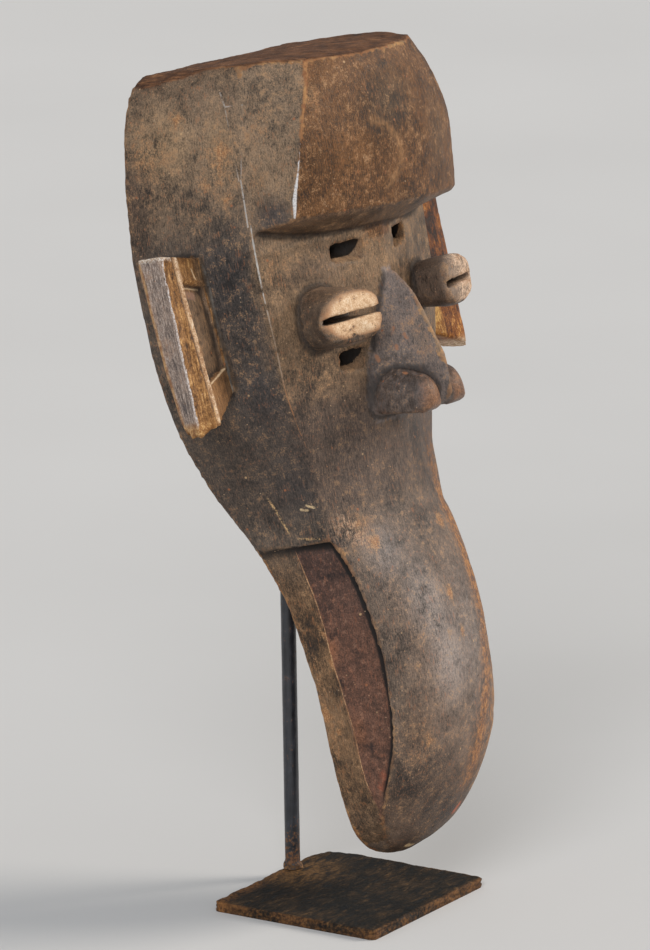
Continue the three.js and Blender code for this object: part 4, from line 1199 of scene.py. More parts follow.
    bx, bw, hole_shade = M.xyz(M.vector("band"))
    bw = bw * M.fmix(M.step(3.0, 13.0, bx), 1.0, 0.22) * M.fmix(M.step(0.40, 0.54, mid * 0.5 + small * 0.5), 0.5, 1.0)
    bx = bx + z(small, 9.0) + z(mid, 5.0) + z(fine, 4.0)
    stain = M.step(-9.0, 2.0, bx + z(fine, 6.0)) * bw
    col = M.mix(stain * 0.6, col, M.mix(M.step(0.4, 0.6, small), srgb(116, 76, 48), srgb(166, 112, 66)))
    farband = M.step(-2.5, 2.5, bx) * bw
    col = M.mix(farband * 0.78, col, M.mix(M.step(0.40, 0.60, small), srgb(108, 64, 33), M.mix(M.step(0.4, 0.62, fine), srgb(160, 102, 54), srgb(204, 150, 94))))

    below = M.step(24.4, 21.6, ph + z(mid, 2.0)) * M.step(16.2, 18.4, ph) * (1.0 - sunk)
    col = M.mix(below * 0.34, col, M.mix(M.step(0.40, 0.62, fibre), srgb(54, 46, 43), srgb(84, 70, 61)))

    # front corners of the forehead: worn line, its pale lower part partly a painted highlight
    dc = M.vmath("LENGTH", M.combine(cax, caf, 0.0))
    head = M.step(34.4, 33.4, ph)
    line = M.step(1.15, 0.45, dc / M.max(wcr, 0.02) + M.fmix(head, z(small, 3.6) + z(mid, 2.0), z(small, 1.0))) * M.step(0.05, 0.3, wcr)
    ccol = M.mix(M.step(34.6, 33.4, ph + z(mid, 2.0)), M.mix(M.step(0.4, 0.6, small), srgb(150, 94, 56), srgb(190, 138, 88)), M.mix(M.step(0.35, 0.6, fine), srgb(196, 188, 186), srgb(240, 238, 236)))
    col = M.mix(line * M.fmix(head, 0.70, 0.93), col, ccol)
    # edge between face and side of the head: pale worn line, partly a painted highlight
    de = M.vmath("LENGTH", M.combine(eax, eaf, 0.0))
    line = M.step(1.1, 0.4, de / M.max(wed, 0.02) + z(small, 1.8) + z(mid, 1.8)) * M.step(0.05, 0.2, wed) * M.step(0.36, 0.50, mid + z(small, 0.5) + M.step(28.0, 30.0, ph) * 0.12)
    col = M.mix(line * M.fmix(M.step(0.35, 0.6, fibre2), 0.45, 0.85), col, M.mix(M.step(24.6, 23.0, ph), M.mix(M.step(26.0, 28.5, ph), srgb(168, 146, 126), srgb(206, 202, 196)), srgb(172, 120, 80)))
    line = M.step(1.1, 0.4, de / M.max(wlip, 0.02) + z(small, 2.6) + z(mid, 1.0)) * M.step(16.2, 16.0, ph) * near
    col = M.mix(line * 0.8, col, M.mix(M.step(0.4, 0.6, small), srgb(134, 92, 60), srgb(190, 146, 100)))

    # rubbed flecks on the side of the nose
    fleck = M.segment(P, (-6.9, 119.3, 249.6), (-7.3, 118.6, 247.2))
    for A, B in (((-5.4, 123.6, 246.0), (-5.0, 124.6, 244.2)), ((-13.9, 112.1, 238.6), (-13.7, 112.6, 236.8)), ((-13.3, 123.8, 231), (-12.6, 125.2, 229.4)),
                 ((-9.0, 120.4, 241.5), (-9.2, 120.4, 240.2))):
        fleck = M.min(fleck, M.segment(P, A, B))
    fleck = M.step(0.13, 0.05, fleck + z(small, 0.30) + z(fine, 0.12)) * near
    col = M.mix(fleck * 0.8, col, srgb(176, 122, 88))

    # rubbed ends of the nostrils; their orange is partly painted warm light
    bulb = M.step(13.0, 14.0, pf + z(small, 1.0) + z(mid, 0.8)) * M.step(0.45, 0.65, M.abs(px) + z(small, 0.1)) * M.step(23.6, 22.8, ph) * M.step(20.6, 21.0, ph)
    col = M.mix(bulb * 0.75, col, M.mix(M.step(0.38, 0.62, fine), srgb(112, 72, 46), srgb(162, 114, 78)))

    # faint curved tool marks on the forehead
    arc = None
    marks = ((-18.1, 136.8, 345.5), (-8, 137.5, 341), (-1.0, 137.2, 333.4), (1.2, 136.0, 326.0), (-2.7, 134.8, 319.2), (-10.6, 133.6, 314.8))
    for A, B in zip(marks[:-1], marks[1:]):
        one = M.segment(P, A, B)
        arc = one if arc is None else M.min(arc, one)
    arc = M.step(0.34, 0.02, arc + z(small, 0.8) + z(fine, 0.5)) * M.step(0.38, 0.56, small * 0.5 + fibre * 0.5)
    col = M.mix(arc * 0.42, col, srgb(172, 128, 84))

    # top of the head: torn end grain
    streak = M.noise(P, 1.0, 4, 0.78, stretch=(9.0, 1.3, 6.0), turn=(0, 0, 0.25))
    tcol = M.ramp(M.clamp(z(streak, 1.3) + z(mid, 0.8) + 0.48), (0.15, srgb(34, 23, 17)), (0.42, srgb(94, 62, 41)), (0.62, srgb(134, 91, 60)), (0.85, srgb(188, 138, 94)))
    col = M.mix(M.step(0.3, 0.7, top), col, tcol)

    # inside of the hollow: dry, dusty, with tool marks
    icol = M.ramp(M.clamp(z(fibre, 1.0) + z(mid, 1.0) + z(fine, 0.7) + 0.5), (0.15, srgb(48, 36, 29)), (0.5, srgb(98, 74, 55)), (0.85, srgb(150, 118, 88)))
    icol = M.mix(M.step(0.48, 0.66, big) * 0.7, icol, srgb(64, 48, 39))
    col = M.mix(inside * 0.9, col, icol)

    # ears
    eu, epast, eback = M.xyz(M.vector("earc"))
    efoot, ear, eface = M.xyz(M.vector("earm"))
    long = M.noise(P, 1.0, 4, 0.7, stretch=(9, 9, 0.9), offset=31.0)
    grain = z(fibre, 0.9) + z(small, 0.9) + z(fine, 0.8) + z(long, 1.1) + z(mid, 0.8)
    gold = M.ramp(M.clamp(grain + 0.44), (0.05, srgb(48, 30, 16)), (0.36, srgb(122, 82, 44)), (0.62, srgb(172, 124, 72)), (0.92, srgb(232, 186, 128)))
    edark = M.ramp(M.clamp(grain + 0.45), (0.10, srgb(60, 44, 32)), (0.50, srgb(124, 98, 74)), (0.90, srgb(172, 130, 92)))
    lav = M.ramp(M.clamp(z(fibre2, 1.6) + z(long, 1.8) + z(fine, 1.0) + z(mid, 0.8) + 0.5), (0.06, srgb(72, 62, 58)), (0.36, srgb(124, 108, 98)), (0.62, srgb(164, 146, 134)), (0.94, srgb(222, 206, 194)))
    creamy = M.ramp(M.clamp(z(small, 1.6) + z(fine, 1.6) + z(long, 0.8) + 0.52), (0.1, srgb(132, 92, 60)), (0.5, srgb(196, 154, 114)), (0.9, srgb(246, 226, 198)))
    P2 = M.combine(px, 0.0, ph)
    topz = M.step(28.4, 29.2, ph + z(mid, 0.5))
    panel = M.step(6.0, 6.7, epast) * M.step(0.2, 1.0, efoot)
    low = M.step(24.85, 24.55, ph - (9.7 + px) * 0.14)
    n = M.mix(panel * (1.0 - topz) * (1.0 - low), gold, edark)
    n = M.mix(panel * topz * M.step(-9.0, -8.2, px + z(mid, 1.0)) * 0.8, n, edark)
    n = M.mix(panel * low * 0.75, n, M.scale_colour(M.mix(M.step(-8.6, -7.8, px), srgb(136, 98, 64), srgb(82, 64, 50)), 1.0 + grain * 1.6))
    ledge = M.step(0.22, 0.10, M.segment(P2, (-100.0, 0, 287.6), (-89.5, 0, 284.6)) + z(small, 0.16))
    n = M.mix(ledge * 0.55, n, srgb(172, 132, 112))
    ledge = M.step(0.065, 0.01, M.segment(P2, (-97.5, 0, 289.9), (-84.0, 0, 286.6)) + z(small, 0.10))
    ledge = M.max(ledge, M.step(0.06, 0.01, M.segment(P2, (-97.3, 0, 245.6), (-78.5, 0, 249.2)) + z(small, 0.12)))
    ledge = M.max(ledge, M.step(0.07, 0.01, M.segment(P2, (-89.0, 0, 297.0), (-87.2, 0, 292.0)) + z(small, 0.2)))
    n = M.mix(ledge * 0.85, n, srgb(228, 196, 156))
    ridge = M.abs(epast - 4.7 + z(mid, 1.2))
    n = M.mix(M.step(1.1, 0.4, M.abs(epast - 2.3) + z(small, 1.2)) * 0.75, n, srgb(40, 28, 20))
    rib = M.step(2.4, 0.7, ridge + z(small, 3.2) + z(long, 2.6) + z(fine, 1.0)) * M.step(31.2, 30.4, ph)
    n = M.mix(rib * 0.92, n, creamy)
    rust = M.step(0.9, 0.1, M.abs(epast - 7.4) + z(small, 2.0)) * M.step(0.5, 0.62, long) * M.step(28.0, 26.0, ph)
    n = M.mix(rust * 0.6, n, srgb(140, 78, 44))
    out = eface * M.step(0.30, -0.15, eu)
    n = M.mix(out, n, lav)
    tint = M.step(0.48, 0.62, long * 0.5 + mid * 0.5)
    n = M.mix(out * tint * 0.6, n, M.mix(M.step(0.4, 0.6, small), srgb(112, 76, 52), srgb(164, 126, 96)))
    n = M.mix(out * M.step(0.46, 0.32, mid * 0.6 + long * 0.4) * 0.6, n, srgb(74, 70, 74))
    # pale line along the front edge of the outer face: worn arris, partly a painted highlight
    rim = M.step(0.95, 0.25, M.abs(eu + 0.15) + z(small, 1.2)) * M.step(0.3, 0.6, ear)
    n = M.mix(rim * 0.9, n, M.mix(M.step(0.40, 0.6, fine), srgb(178, 156, 142), srgb(238, 230, 224)))
    rim = M.step(2.3, 0.6, M.abs(eback - 0.8) + z(small, 2.4) + z(long, 1.6)) * M.step(0.2, 0.7, eface)
    n = M.mix(rim * 0.85, n, M.mix(M.step(0.40, 0.58, small), srgb(146, 98, 58), M.mix(M.step(0.5, 0.65, long), srgb(196, 150, 96), creamy)))
    # pale line along the top of the outer face: worn, partly a painted highlight
    rim = M.step(30.35, 30.6, ph + z(small, 0.4) + M.abs(px + 10.9) * 0.15) * M.step(10.2, 10.5, M.abs(px))
    n = M.mix(rim * 0.9, n, M.mix(M.step(0.40, 0.6, fine), srgb(186, 150, 116), srgb(250, 240, 226)))
    rim = M.step(23.2, 22.7, ph + z(small, 0.8)) * M.step(9.6, 10.2, M.abs(px))
    n = M.mix(rim * 0.95, n, M.mix(M.step(0.40, 0.6, small), srgb(138, 92, 48), M.mix(M.step(0.5, 0.6, fine), srgb(186, 134, 76), srgb(236, 196, 136))))
    # painted shade on the back part of the ears
    back = M.step(0.4, -0.6, eback)
    n = M.mix(back, n, M.scale_colour(edark, 0.6))
    # far ear: a warmer, redder copy of the ear colours, standing in for the warm light on that side
    fcol = M.ramp(M.clamp(grain + z(mid, 0.8) + 0.42), (0.1, srgb(44, 22, 10)), (0.40, srgb(108, 58, 22)), (0.70, srgb(162, 98, 40)), (0.92, srgb(220, 160, 88)))
    golden = M.ramp(M.clamp(grain + z(mid, 0.5) + 0.52), (0.1, srgb(94, 50, 18)), (0.5, srgb(164, 106, 44)), (0.9, srgb(230, 182, 106)))
    band = M.step(0.55, 0.25, M.abs(px - 8.75 + (ph - 25.0) * 0.02) + z(small, 0.3))
    fcol = M.mix(band * M.step(27.4, 26.2, ph), fcol, golden)
    fcol = M.mix(band * M.step(26.6, 27.8, ph) * 0.7, fcol, M.mix(M.step(0.45, 0.6, small), srgb(132, 84, 48), srgb(196, 146, 96)))
    # painted shade on the far ear next to the cheek
    fcol = M.mix(M.step(8.4, 7.9, px) * 0.8, fcol, srgb(34, 22, 16))
    fcol = M.mix(M.step(23.0, 22.6, ph + z(small, 0.5)), fcol, creamy)
    fcol = M.mix(back, fcol, M.scale_colour(edark, 0.8))
    col = M.mix(M.step(0.35, 0.65, ear), col, M.mix(near, fcol, n))
    seam = None
    pts = ((-79.4, 73.1, 299.4), (-78.8, 74.4, 292.3), (-78.5, 74.6, 282.6), (-77.3, 74.6, 264.5), (-76.5, 74.1, 255.2), (-75.8, 74.6, 238.0))
    for A, B in zip(pts[:-1], pts[1:]):
        one = M.segment(P, A, B)
        seam = one if seam is None else M.min(seam, one)
    seam = M.step(0.10, 0.04, seam + z(small, 0.07)) * M.step(0.40, 0.56, mid + z(small, 0.8))
    col = M.mix(seam * 0.7, col, srgb(150, 146, 138))

    # eyes: pads whitened with kaolin, black slit, painted shade on the sides and undersides of the tubes
    ex = M.abs(px) * 10.0 - EYE_X
    eh = ph * 10.0 - EYE_H
    behind = 125.3 - ex * 0.272 - pf * 10.0
    k = lambda e, rx, rh: M.math("POWER", M.math("POWER", M.abs(ex) / rx, e) + M.math("POWER", M.abs(eh) / rh, e), 1.0 / e)
    rho = M.fmix(M.step(-0.5, 0.5, ex), k(3.3, 17.0, 11.1), k(1.62, 17.0, 11.1))
    under = M.step(-9.3, -10.3, eh + z(small, 1.0))
    pad = M.step(1.04, 0.90, rho + z(small, 0.30)) * M.step(3.4, 2.2, behind + z(small, 1.6)) * M.step(1.35, 1.75, M.abs(eh) + behind * 0.1) * tube * (1.0 - under)
    chalk = M.ramp(M.clamp(z(small, 1.2) + z(fine, 1.2) + z(mid, 0.8) + 0.56), (0.05, srgb(140, 96, 66)), (0.35, srgb(196, 154, 116)), (0.65, srgb(228, 194, 156)), (0.95, srgb(250, 230, 204)))
    chalk = M.mix(M.step(0.74, 0.98, rho + z(small, 0.35)) * 0.7, chalk, srgb(160, 112, 78))
    chalk = M.mix(M.step(0.34, 0.6, d) * 0.6, chalk, srgb(120, 88, 66))
    chalk = M.mix(M.step(-8.0, -9.6, eh + z(small, 2.5)) * 0.6, chalk, srgb(150, 108, 74))
    chalk = M.mix(M.step(9.0, 14.5, ex + z(small, 4.0)) * 0.55, chalk, srgb(172, 122, 84))
    col = M.mix(pad * near * M.step(0.27, 0.42, small + z(mid, 0.4)), col, chalk)
    # painted shade under the near tube
    col = M.mix(under * tube * near * M.step(4.5, 3.5, behind) * 0.7, col, M.mix(M.step(0.4, 0.6, small), srgb(52, 38, 28), srgb(104, 76, 52)))
    # painted shade on the sides of the far tube
    col = M.mix(tube * far * M.step(3.0, 6.0, behind + z(small, 5.0)) * 0.45, col, M.mix(M.step(0.40, 0.62, fibre), srgb(46, 37, 33), srgb(88, 71, 60)))
    worn_end = M.step(7.5, 4.0, behind + z(small, 6.0)) * M.step(-10.0, 0.0, ex + z(small, 8.0)) * M.step(-11.5, -9.0, eh + z(small, 4.0)) * tube * far
    col = M.mix(worn_end * M.step(0.36, 0.56, small * 0.6 + fibre * 0.4) * 0.92, col, M.mix(M.step(0.36, 0.56, fine), srgb(150, 114, 90), srgb(232, 202, 174)))

    # scratches on the side of the head
    scr = None
    for A, B, wd, a in (((-63.3, 89.7, 370.9), (-64.2, 91.6, 364.5), 0.026, 0.7), ((-64.2, 91.6, 364.5), (-61.4, 99.1, 364.1), 0.026, 0.7),
                        ((-64.2, 91.6, 364.5), (-67.8, 94.1, 331.1), 0.024, 0.55), ((-61.4, 99.1, 364.1), (-67.6, 95.2, 331.5), 0.022, 0.5),
                        ((-67.7, 95.0, 331.3), (-68.8, 94.9, 310.2), 0.032, 0.95)):
        dd = M.segment(P, A, B)
        one = M.step(wd * 1.9, wd * 0.7, dd + z(small, 0.07) + z(mid, 0.05)) * a
        scr = one if scr is None else M.max(scr, one)
    scr = scr * M.step(0.36, 0.52, small + z(mid, 0.3))
    col = M.mix(scr * 0.75, col, srgb(196, 190, 184))
    # cracked, flaked line on the jaw and knocks
    jn = z(small, 0.35) + z(mid, 0.3)
    crack = M.min(M.segment(P, (-56.8, 66.5, 190), (-52.6, 73.4, 168)), M.segment(P, (-51.6, 77.0, 165.0), (-48.8, 86.5, 163.5)))
    crack = M.step(0.075, 0.01, crack + jn * 0.6) * M.step(0.42, 0.56, small * 0.5 + fine * 0.5)
    col = M.mix(crack * 0.9, col, srgb(216, 176, 124))
    chip = M.min(M.segment(P, (-51.2, 81.6, 178.0), (-50.2, 84.6, 176.6)), M.segment(P, (-50.2, 84.2, 179.4), (-49.3, 87.0, 178.0)))
    chip = M.step(0.085, 0.02, chip + z(small, 0.22) + z(fine, 0.14)) * M.step(0.34, 0.5, fine)
    col = M.mix(chip * 0.9, col, srgb(222, 192, 148))
    patch = M.step(0.9, 0.2, M.segment(P, (-41, 96, 168), (-33, 100, 158)) + z(small, 2.2) + z(mid, 1.4))
    col = M.mix(patch * M.step(0.46, 0.60, small * 0.6 + fibre * 0.4) * 0.75, col, M.mix(M.step(0.4, 0.6, fine), srgb(176, 128, 96), srgb(206, 178, 150)))
    tipc = M.step(0.22, 0.08, M.segment(P, (-12, 76, 12), (-4, 74, 9.5)) + z(small, 0.3))
    col = M.mix(tipc * 0.8, col, srgb(222, 190, 146))
    rspot = M.step(0.30, 0.12, M.segment(P, (14, 86, 22), (17, 88, 24)) + z(small, 0.5))
    col = M.mix(rspot * 0.8, col, srgb(190, 92, 52))

    # pale knocks and specks
    cd, cc = M.cells(P, 1.3)
    cr = M.node("ShaderNodeSeparateColor")
    M.put(cr.inputs[0], cc)
    speck = M.step(0.10, 0.045, cd + z(fine, 0.10) + z(small, 0.12)) * M.step(0.60, 0.66, M.val(cr.outputs[0]))
    col = M.mix(speck * 0.75, col, M.mix(M.step(0.4, 0.6, M.val(cr.outputs[1])), srgb(206, 168, 124), srgb(168, 104, 66)))
    cd2, cc2 = M.cells(P, 3.8)
    cr2 = M.node("ShaderNodeSeparateColor")
    M.put(cr2.inputs[0], cc2)
    speck2 = M.step(0.17, 0.07, cd2 + z(fine, 0.16)) * M.step(0.66, 0.74, M.val(cr2.outputs[1]))
    col = M.mix(speck2 * 0.6, col, M.mix(M.val(cr2.outputs[0]), srgb(206, 174, 140), srgb(166, 108, 66)))

    # painted shade: black deep in the viewing holes, and darkening in the hollows of the carving
    col = M.mix(M.step(0.35, 0.65, hole_shade + z(small, 0.7)) * 0.96, col, srgb(13, 10, 9))
    hole = jawhole
    hollow_shade = M.step(0.16, 1.05, cav + (z(small, 0.8) + z(fine, 0.7)) * M.clamp(cav * 3.0))
    col = M.mix(hollow_shade * 0.70 * (1.0 - pad * near) * (1.0 - hole), col, srgb(25, 20, 18))

    rough = M.clamp(0.50 + z(small, 0.35) + z(fine, 0.3) - sheen * 0.16 + rubbed * 0.08 + worn * 0.10 + top * 0.2 + inside * 0.25 + pad * 0.25 + cav * 0.15)
    height = fibre * 0.75 + small * 0.60 + fine * 0.40 + top * streak * 1.8
    return M.finish(col, rough, M.bump(height, 0.00045, 0.85), IOR=1.45, Specular_IOR_Level=0.36)


wood = wood_material()
mask.data.materials.clear()
mask.data.materials.append(wood)
mask.name = "carved_mask"
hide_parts("mask")
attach(mask, "root")


# ------------------------------------------------------------------ rod
def rod_piece():
    n = 56
    zs = [0.02, 0.25, 0.6, 1.0, 1.4, 1.8, 2.2, 2.6, 3.0, 3.4, 3.9, 4.5, 5.2] + list(np.arange(6.5, ROD_LEN - 1, 2.2)) + [ROD_LEN - 0.8, ROD_LEN - 0.3, ROD_LEN]
    prof = profile((0, 4.7), (0.4, 4.65), (1.2, 4.4), (2.2, 4.05), (3.2, 3.62), (4.5, 3.5), (400, 3.5))
    an = np.arange(n) * 2 * math.pi / n
    P, idx = [], []
    lean = math.radians(ROD_LEAN)
    for z in zs:
        r = float(prof(z)) - (0.5 if z >= ROD_LEN - 0.1 else 0.15 if z > ROD_LEN - 0.5 else 0)
        q = np.stack([np.cos(an) * 3, np.sin(an) * 3, np.full(n, z * 0.5)], 1)
        weld = smooth(4.2, 1.5, z)
        rr = r + weld * (0.75 * noise(q / 1.6, 91) - 0.1) + 0.05 * noise(np.stack([np.cos(an), np.sin(an), np.full(n, z / 9)], 1), 93)
        rr = np.minimum(rr, 6.0)
        x = ROD_X + rr * np.cos(an)
        y = ROD_Y + rr * np.sin(an) + (z + 0.0) * math.tan(lean)
        y = np.minimum(y, np.where(z < 5, PLATE_D / 2 - 0.15, 1e9))
        P.append(np.stack([x, y, np.full(n, PLATE_T + z * math.cos(lean))], 1))
    V = np.concatenate(P) * 0.001
    F = []
    for k in range(len(zs) - 1):
        for j in range(n):
            a, b = k * n + j, k * n + (j + 1) % n
            F.append((a, b, b + n, a + n))
    V = V.tolist()
    for k in (0, len(zs) - 1):
        V.append(np.mean(V[k * n:(k + 1) * n], axis=0).tolist())
        for j in range(n):
            a, b = k * n + j, k * n + (j + 1) % n
            F.append((len(V) - 1, b, a) if k == 0 else (len(V) - 1, a, b))
    ob = mesh_object("steel_rod", V, F)
    outward(ob)
    for p in ob.data.polygons:
        p.use_smooth = True
    v = np.array([q.co for q in ob.data.vertices]) * 1000
    attribute(ob.data, "mc", v * 0.1)
    return ob


def steel_material():
    M = Mat("black_steel")
    P = M.vector("mc")
    _, _, z = M.xyz(P)
    n1 = M.noise(P, 1.6, 4, 0.6)
    n2 = M.noise(P, 7.0, 4, 0.65, offset=4.0)
    n3 = M.noise(P, 1.0, 3, 0.6, stretch=(9, 9, 0.8), offset=2.0)
    col = M.ramp(M.clamp(n1 * 0.6 + n3 * 0.4), (0.35, srgb(26, 27, 31)), (0.55, srgb(44, 46, 52)), (0.7, srgb(66, 68, 76)))
    foot = M.step(3.4, 0.5, z)
    rust = M.step(0.56, 0.70, n2 * 0.6 + n1 * 0.4 + foot * 0.20)
    col = M.mix(rust * 0.85, col, M.mix(M.step(0.45, 0.6, n2), srgb(74, 48, 30), srgb(128, 84, 46)))
    weld = M.step(0.86, 0.62, z)
    col = M.mix(weld * M.step(0.35, 0.6, n2), col, M.mix(M.step(0.4, 0.6, n1), srgb(92, 66, 42), srgb(150, 112, 72)))
    rough = M.clamp(0.24 + n2 * 0.20 + rust * 0.35 + weld * 0.35)
    nrm = M.bump(n2 * 0.6 + n3 * 0.5 + rust * 0.4, 0.0003, 0.6)
    return M.finish(col, rough, nrm, Metallic=0.0, IOR=1.6)


rod = rod_piece()
rod.data.materials.append(steel_material())
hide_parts("rod")
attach(rod, "root")


# ------------------------------------------------------------------ base plate
def plate_piece():
    """one closed skin: rings of the outline from the underside's middle, up the edge and in over the top"""
    w, d = PLATE_W / 2, PLATE_D / 2

    def outline(n_side, r):
        pts = []
        for cx, cy, a0 in ((w - r, d - r, 0), (-w + r, d - r, 90), (-w + r, -d + r, 180), (w - r, -d + r, 270)):
            for k in range(7):
                a = math.radians(a0 + 90 * k / 6)
                pts.append((cx + r * math.cos(a), cy + r * math.sin(a)))
        out = []
        for i, p in enumerate(pts):
            q = pts[(i + 1) % len(pts)]
            L = math.hypot(q[0] - p[0], q[1] - p[1])
            m = max(1, int(round(L / 1.15))) if L > 3 else 1
            out += [(p[0] + (q[0] - p[0]) * t / m, p[1] + (q[1] - p[1]) * t / m) for t in range(m)]
        return np.array(out)

    O = outline(0, 2.6)
    n = len(O)
    rings = []
    for s, z in ((0.02, 0), (0.35, 0), (0.7, 0), (0.93, 0), (0.988, 0.0), (1.0, 0.45)):
        rings.append(np.c_[O * s, np.full(n, z)])
    for z in (1.0, 1.5, 2.0, 2.5, 3.0, 3.5, 4.0, 4.5):
        rings.append(np.c_[O, np.full(n, z)])
    rings.append(np.c_[O * np.array([(w - 0.25) / w, (d - 0.25) / d]), np.full(n, 4.85)])
    ins = [0.7, 1.5, 2.6, 4.0, 5.4, 6.8] + list(np.arange(8.2, d - 1.0, 1.4))
    for i in ins:
        rings.append(np.c_[O * np.array([(w - i) / w, (d - i) / d]), np.full(n, 5.0)])
    K = len(rings)
    V = np.concatenate(rings)
    F = []
    for k in range(K - 1):
        for j in range(n):
            a, b = k * n + j, k * n + (j + 1) % n
            F.append((a, b, b + n, a + n))
    V = V.tolist()
    for k in (0, K - 1):
        c = np.mean(V[k * n:(k + 1) * n], axis=0).tolist()
        V.append(c)
        for j in range(n):
            a, b = k * n + j, k * n + (j + 1) % n
            F.append((len(V) - 1, b, a) if k == 0 else (len(V) - 1, a, b))
    V = np.array(V)
    x, y, z = V.T
    # eroded, layered edge
    rim = smooth(3.5, 0.0, np.minimum(w - np.abs(x), d - np.abs(y))) * (z > 0.2)
    c = np.stack([x, y, z], 1)
    lay = np.clip(noise(np.stack([x / 16, y / 16, z / 1.1], 1), 101), -1, 1)
    chew = 0.35 + 0.9 * np.clip(noise(c / np.array([6, 6, 2.5]), 103), 0, 1) + 0.45 * lay
    r = np.hypot(x, y)
    V[:, 0] -= rim * np.clip(chew, 0, 1.6) * np.clip(x / w, -1, 1) * (np.abs(x) / w > 0.9)
    V[:, 1] -= rim * np.clip(chew, 0, 1.6) * np.clip(y / d, -1, 1) * (np.abs(y) / d > 0.9)
    up = (z > 4.0)
    dz = 0.22 * fbm(c / np.array([9, 5, 9]), 3, 105) + 0.12 * noise(c / 1.9, 107) - 0.5 * rim * np.clip(noise(c / 5.0, 109), 0, 1)
    keep = smooth(6.5, 10.0, np.hypot(x - ROD_X, y - ROD_Y))
    V[:, 2] += up * np.where(z >= 4.99, dz, dz * 0.6) * (0.25 + 0.75 * keep)
    V[:, 2] -= up * 0.25
    # bent and rounded back corner
    corner = blob(c, (w - 1.0, d - 1.0, 4), (15, 15, 30))
    V[:, 0] -= 2.4 * corner * (z > 0.1)
    V[:, 1] -= 2.4 * corner * (z > 0.1)
    V[:, 2] = np.clip(V[:, 2], 0, 5.35)
    ob = mesh_object("base_plate_rusted", (V * 0.001).tolist(), F)
    outward(ob)
    for p in ob.data.polygons:
        p.use_smooth = True
    v = np.array([q.co for q in ob.data.vertices]) * 1000
    attribute(ob.data, "mc", v * 0.1)
    e = np.clip(smooth(2.2, 0.2, np.minimum(w - np.abs(v[:, 0]), d - np.abs(v[:, 1]))), 0, 1)
    attribute(ob.data, "rim", e)
    return ob


def rust_material():
    M = Mat("rusted_plate")
    P = M.vector("mc")
    x, y, z = M.xyz(P)
    rim = M.val(M.attr("rim").outputs["Fac"])
    n1 = M.noise(P, 0.55, 4, 0.6)
    n2 = M.noise(P, 1.0, 5, 0.65, stretch=(1.1, 3.6, 3.0), turn=(0, 0, 0.5), distort=0.4)
    n3 = M.noise(P, 6.5, 4, 0.7, offset=3.0)
    n4 = M.noise(P, 1.0, 4, 0.7, stretch=(3.5, 14, 9), turn=(0, 0, 0.55), offset=5.0)
    col = M.ramp(M.clamp(n2 * 0.6 + n1 * 0.4), (0.36, srgb(12, 12, 12)), (0.47, srgb(30, 25, 18)), (0.56, srgb(58, 44, 29)), (0.70, srgb(112, 84, 54)))
    col = M.scale_colour(col, M.math("MAXIMUM", 1.0 + (n4 - 0.5) * 3.4 + (n3 - 0.5) * 2.4, 0.2))
    flake = M.step(0.56, 0.66, n3 * 0.6 + n2 * 0.4)
    col = M.mix(flake * 0.35, col, srgb(132, 98, 60))
    rodside = M.step(3.2, 0.6, M.segment(P, (ROD_X, ROD_Y, 5), (ROD_X - 4, ROD_Y - 3, 5)) + (n1 - 0.5) * 1.6)
    col = M.mix(rodside * M.step(0.32, 0.6, n2) * 0.8, col, M.mix(M.step(0.4, 0.6, n3), srgb(104, 76, 48), srgb(154, 112, 64)))
    back = M.step(3.4, 4.15, y) * M.step(2.2, 0.2, x)
    col = M.mix(M.clamp(rim * 0.6 + back) * M.step(0.38, 0.6, n3 * 0.5 + n1 * 0.5), col, M.mix(M.step(0.4, 0.6, n3), srgb(112, 70, 40), srgb(152, 104, 58)))
    col = M.scale_colour(col, 0.86)
    rough = M.clamp(0.62 + n3 * 0.3 - M.step(0.45, 0.3, n2) * 0.2)
    nrm = M.bump(n4 * 0.8 + n3 * 0.6 + n2 * 0.8, 0.0006, 0.8)
    return M.finish(col, rough, nrm, IOR=1.5, Specular_IOR_Level=0.3)


plate = plate_piece()
plate.data.materials.append(rust_material())
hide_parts("base_plate")
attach(plate, "root")


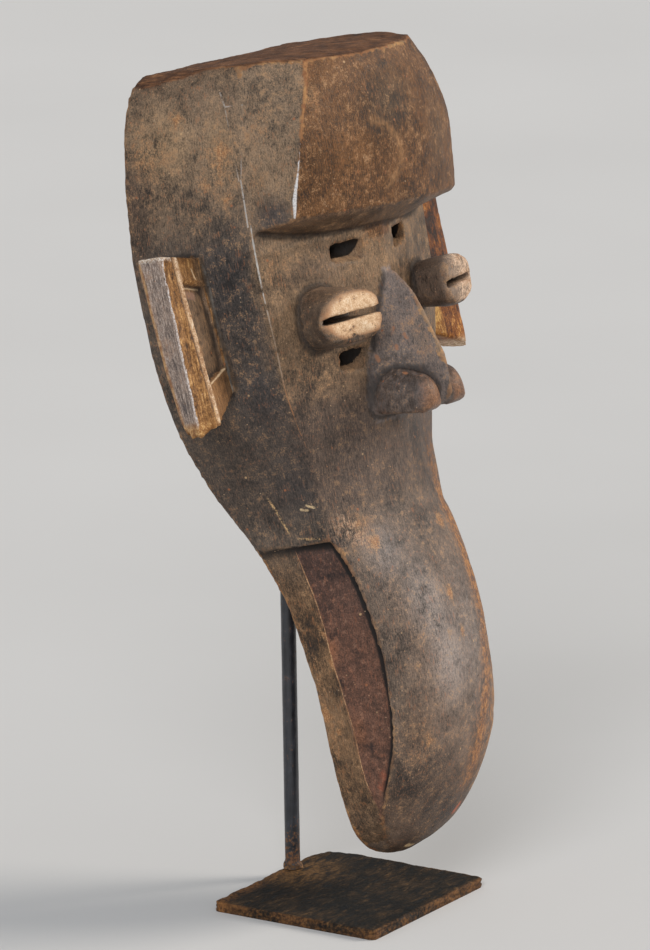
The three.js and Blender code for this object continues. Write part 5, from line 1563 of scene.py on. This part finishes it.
# ------------------------------------------------------------------ floor, light, camera
def studio():
    bpy.ops.mesh.primitive_circle_add(vertices=96, radius=14.0, fill_type="NGON", location=(0, 0, 0))
    floor = bpy.context.object
    floor.name = "floor"
    M = Mat("pale_floor")
    tc = M.node("ShaderNodeTexCoord")
    n = M.noise(M.val(tc.outputs["Object"]), 3.0, 3, 0.5)
    M.finish(M.ramp(n, (0.3, (0.70, 0.69, 0.675, 1)), (0.7, (0.73, 0.72, 0.705, 1))), 0.75, None)
    floor.data.materials.append(M.mat)
    world = bpy.data.worlds.new("studio")
    bpy.context.scene.world = world
    world.use_nodes = True
    bg = world.node_tree.nodes["Background"]
    bg.inputs[0].default_value = (0.93, 0.96, 1.0, 1)
    bg.inputs[1].default_value = 0.34

    def sun(name, towards, angle, power, colour):
        li = bpy.data.lights.new(name, "SUN")
        li.energy = power
        li.angle = math.radians(angle)
        li.color = colour
        o = bpy.data.objects.new(name, li)
        bpy.context.scene.collection.objects.link(o)
        o.rotation_euler = (-Vector(towards)).to_track_quat("-Z", "Y").to_euler()
        return o

    sun("key", (0.62, -0.74, 0.50), 24, 2.0, (1.0, 0.94, 0.86))
    sun("fill", (-0.86, -0.30, 0.62), 34, 1.5, (0.95, 0.97, 1.0))

    cam = bpy.data.cameras.new("camera")
    co = bpy.data.objects.new("camera", cam)
    bpy.context.scene.collection.objects.link(co)
    az, el = math.radians(-58.33), math.radians(14.3)
    back = Vector((math.sin(az) * math.cos(el), -math.cos(az) * math.cos(el), math.sin(el)))
    target = Vector((-10.37, 6.73, 203.2)) * 0.001
    co.location = target + back * 3.540
    co.rotation_euler = (-back).to_track_quat("-Z", "Y").to_euler()
    cam.lens = 7788.0 * 36.0 / 950.0
    cam.sensor_width = 36.0
    cam.sensor_fit = "AUTO"
    cam.clip_start, cam.clip_end = 0.1, 100
    bpy.context.scene.camera = co
    vs = bpy.context.scene.view_settings
    vs.view_transform = "Standard"
    vs.look = "None"
    vs.exposure = 0.0
    vs.gamma = 1.0


studio()

bpy.context.view_layer.update()
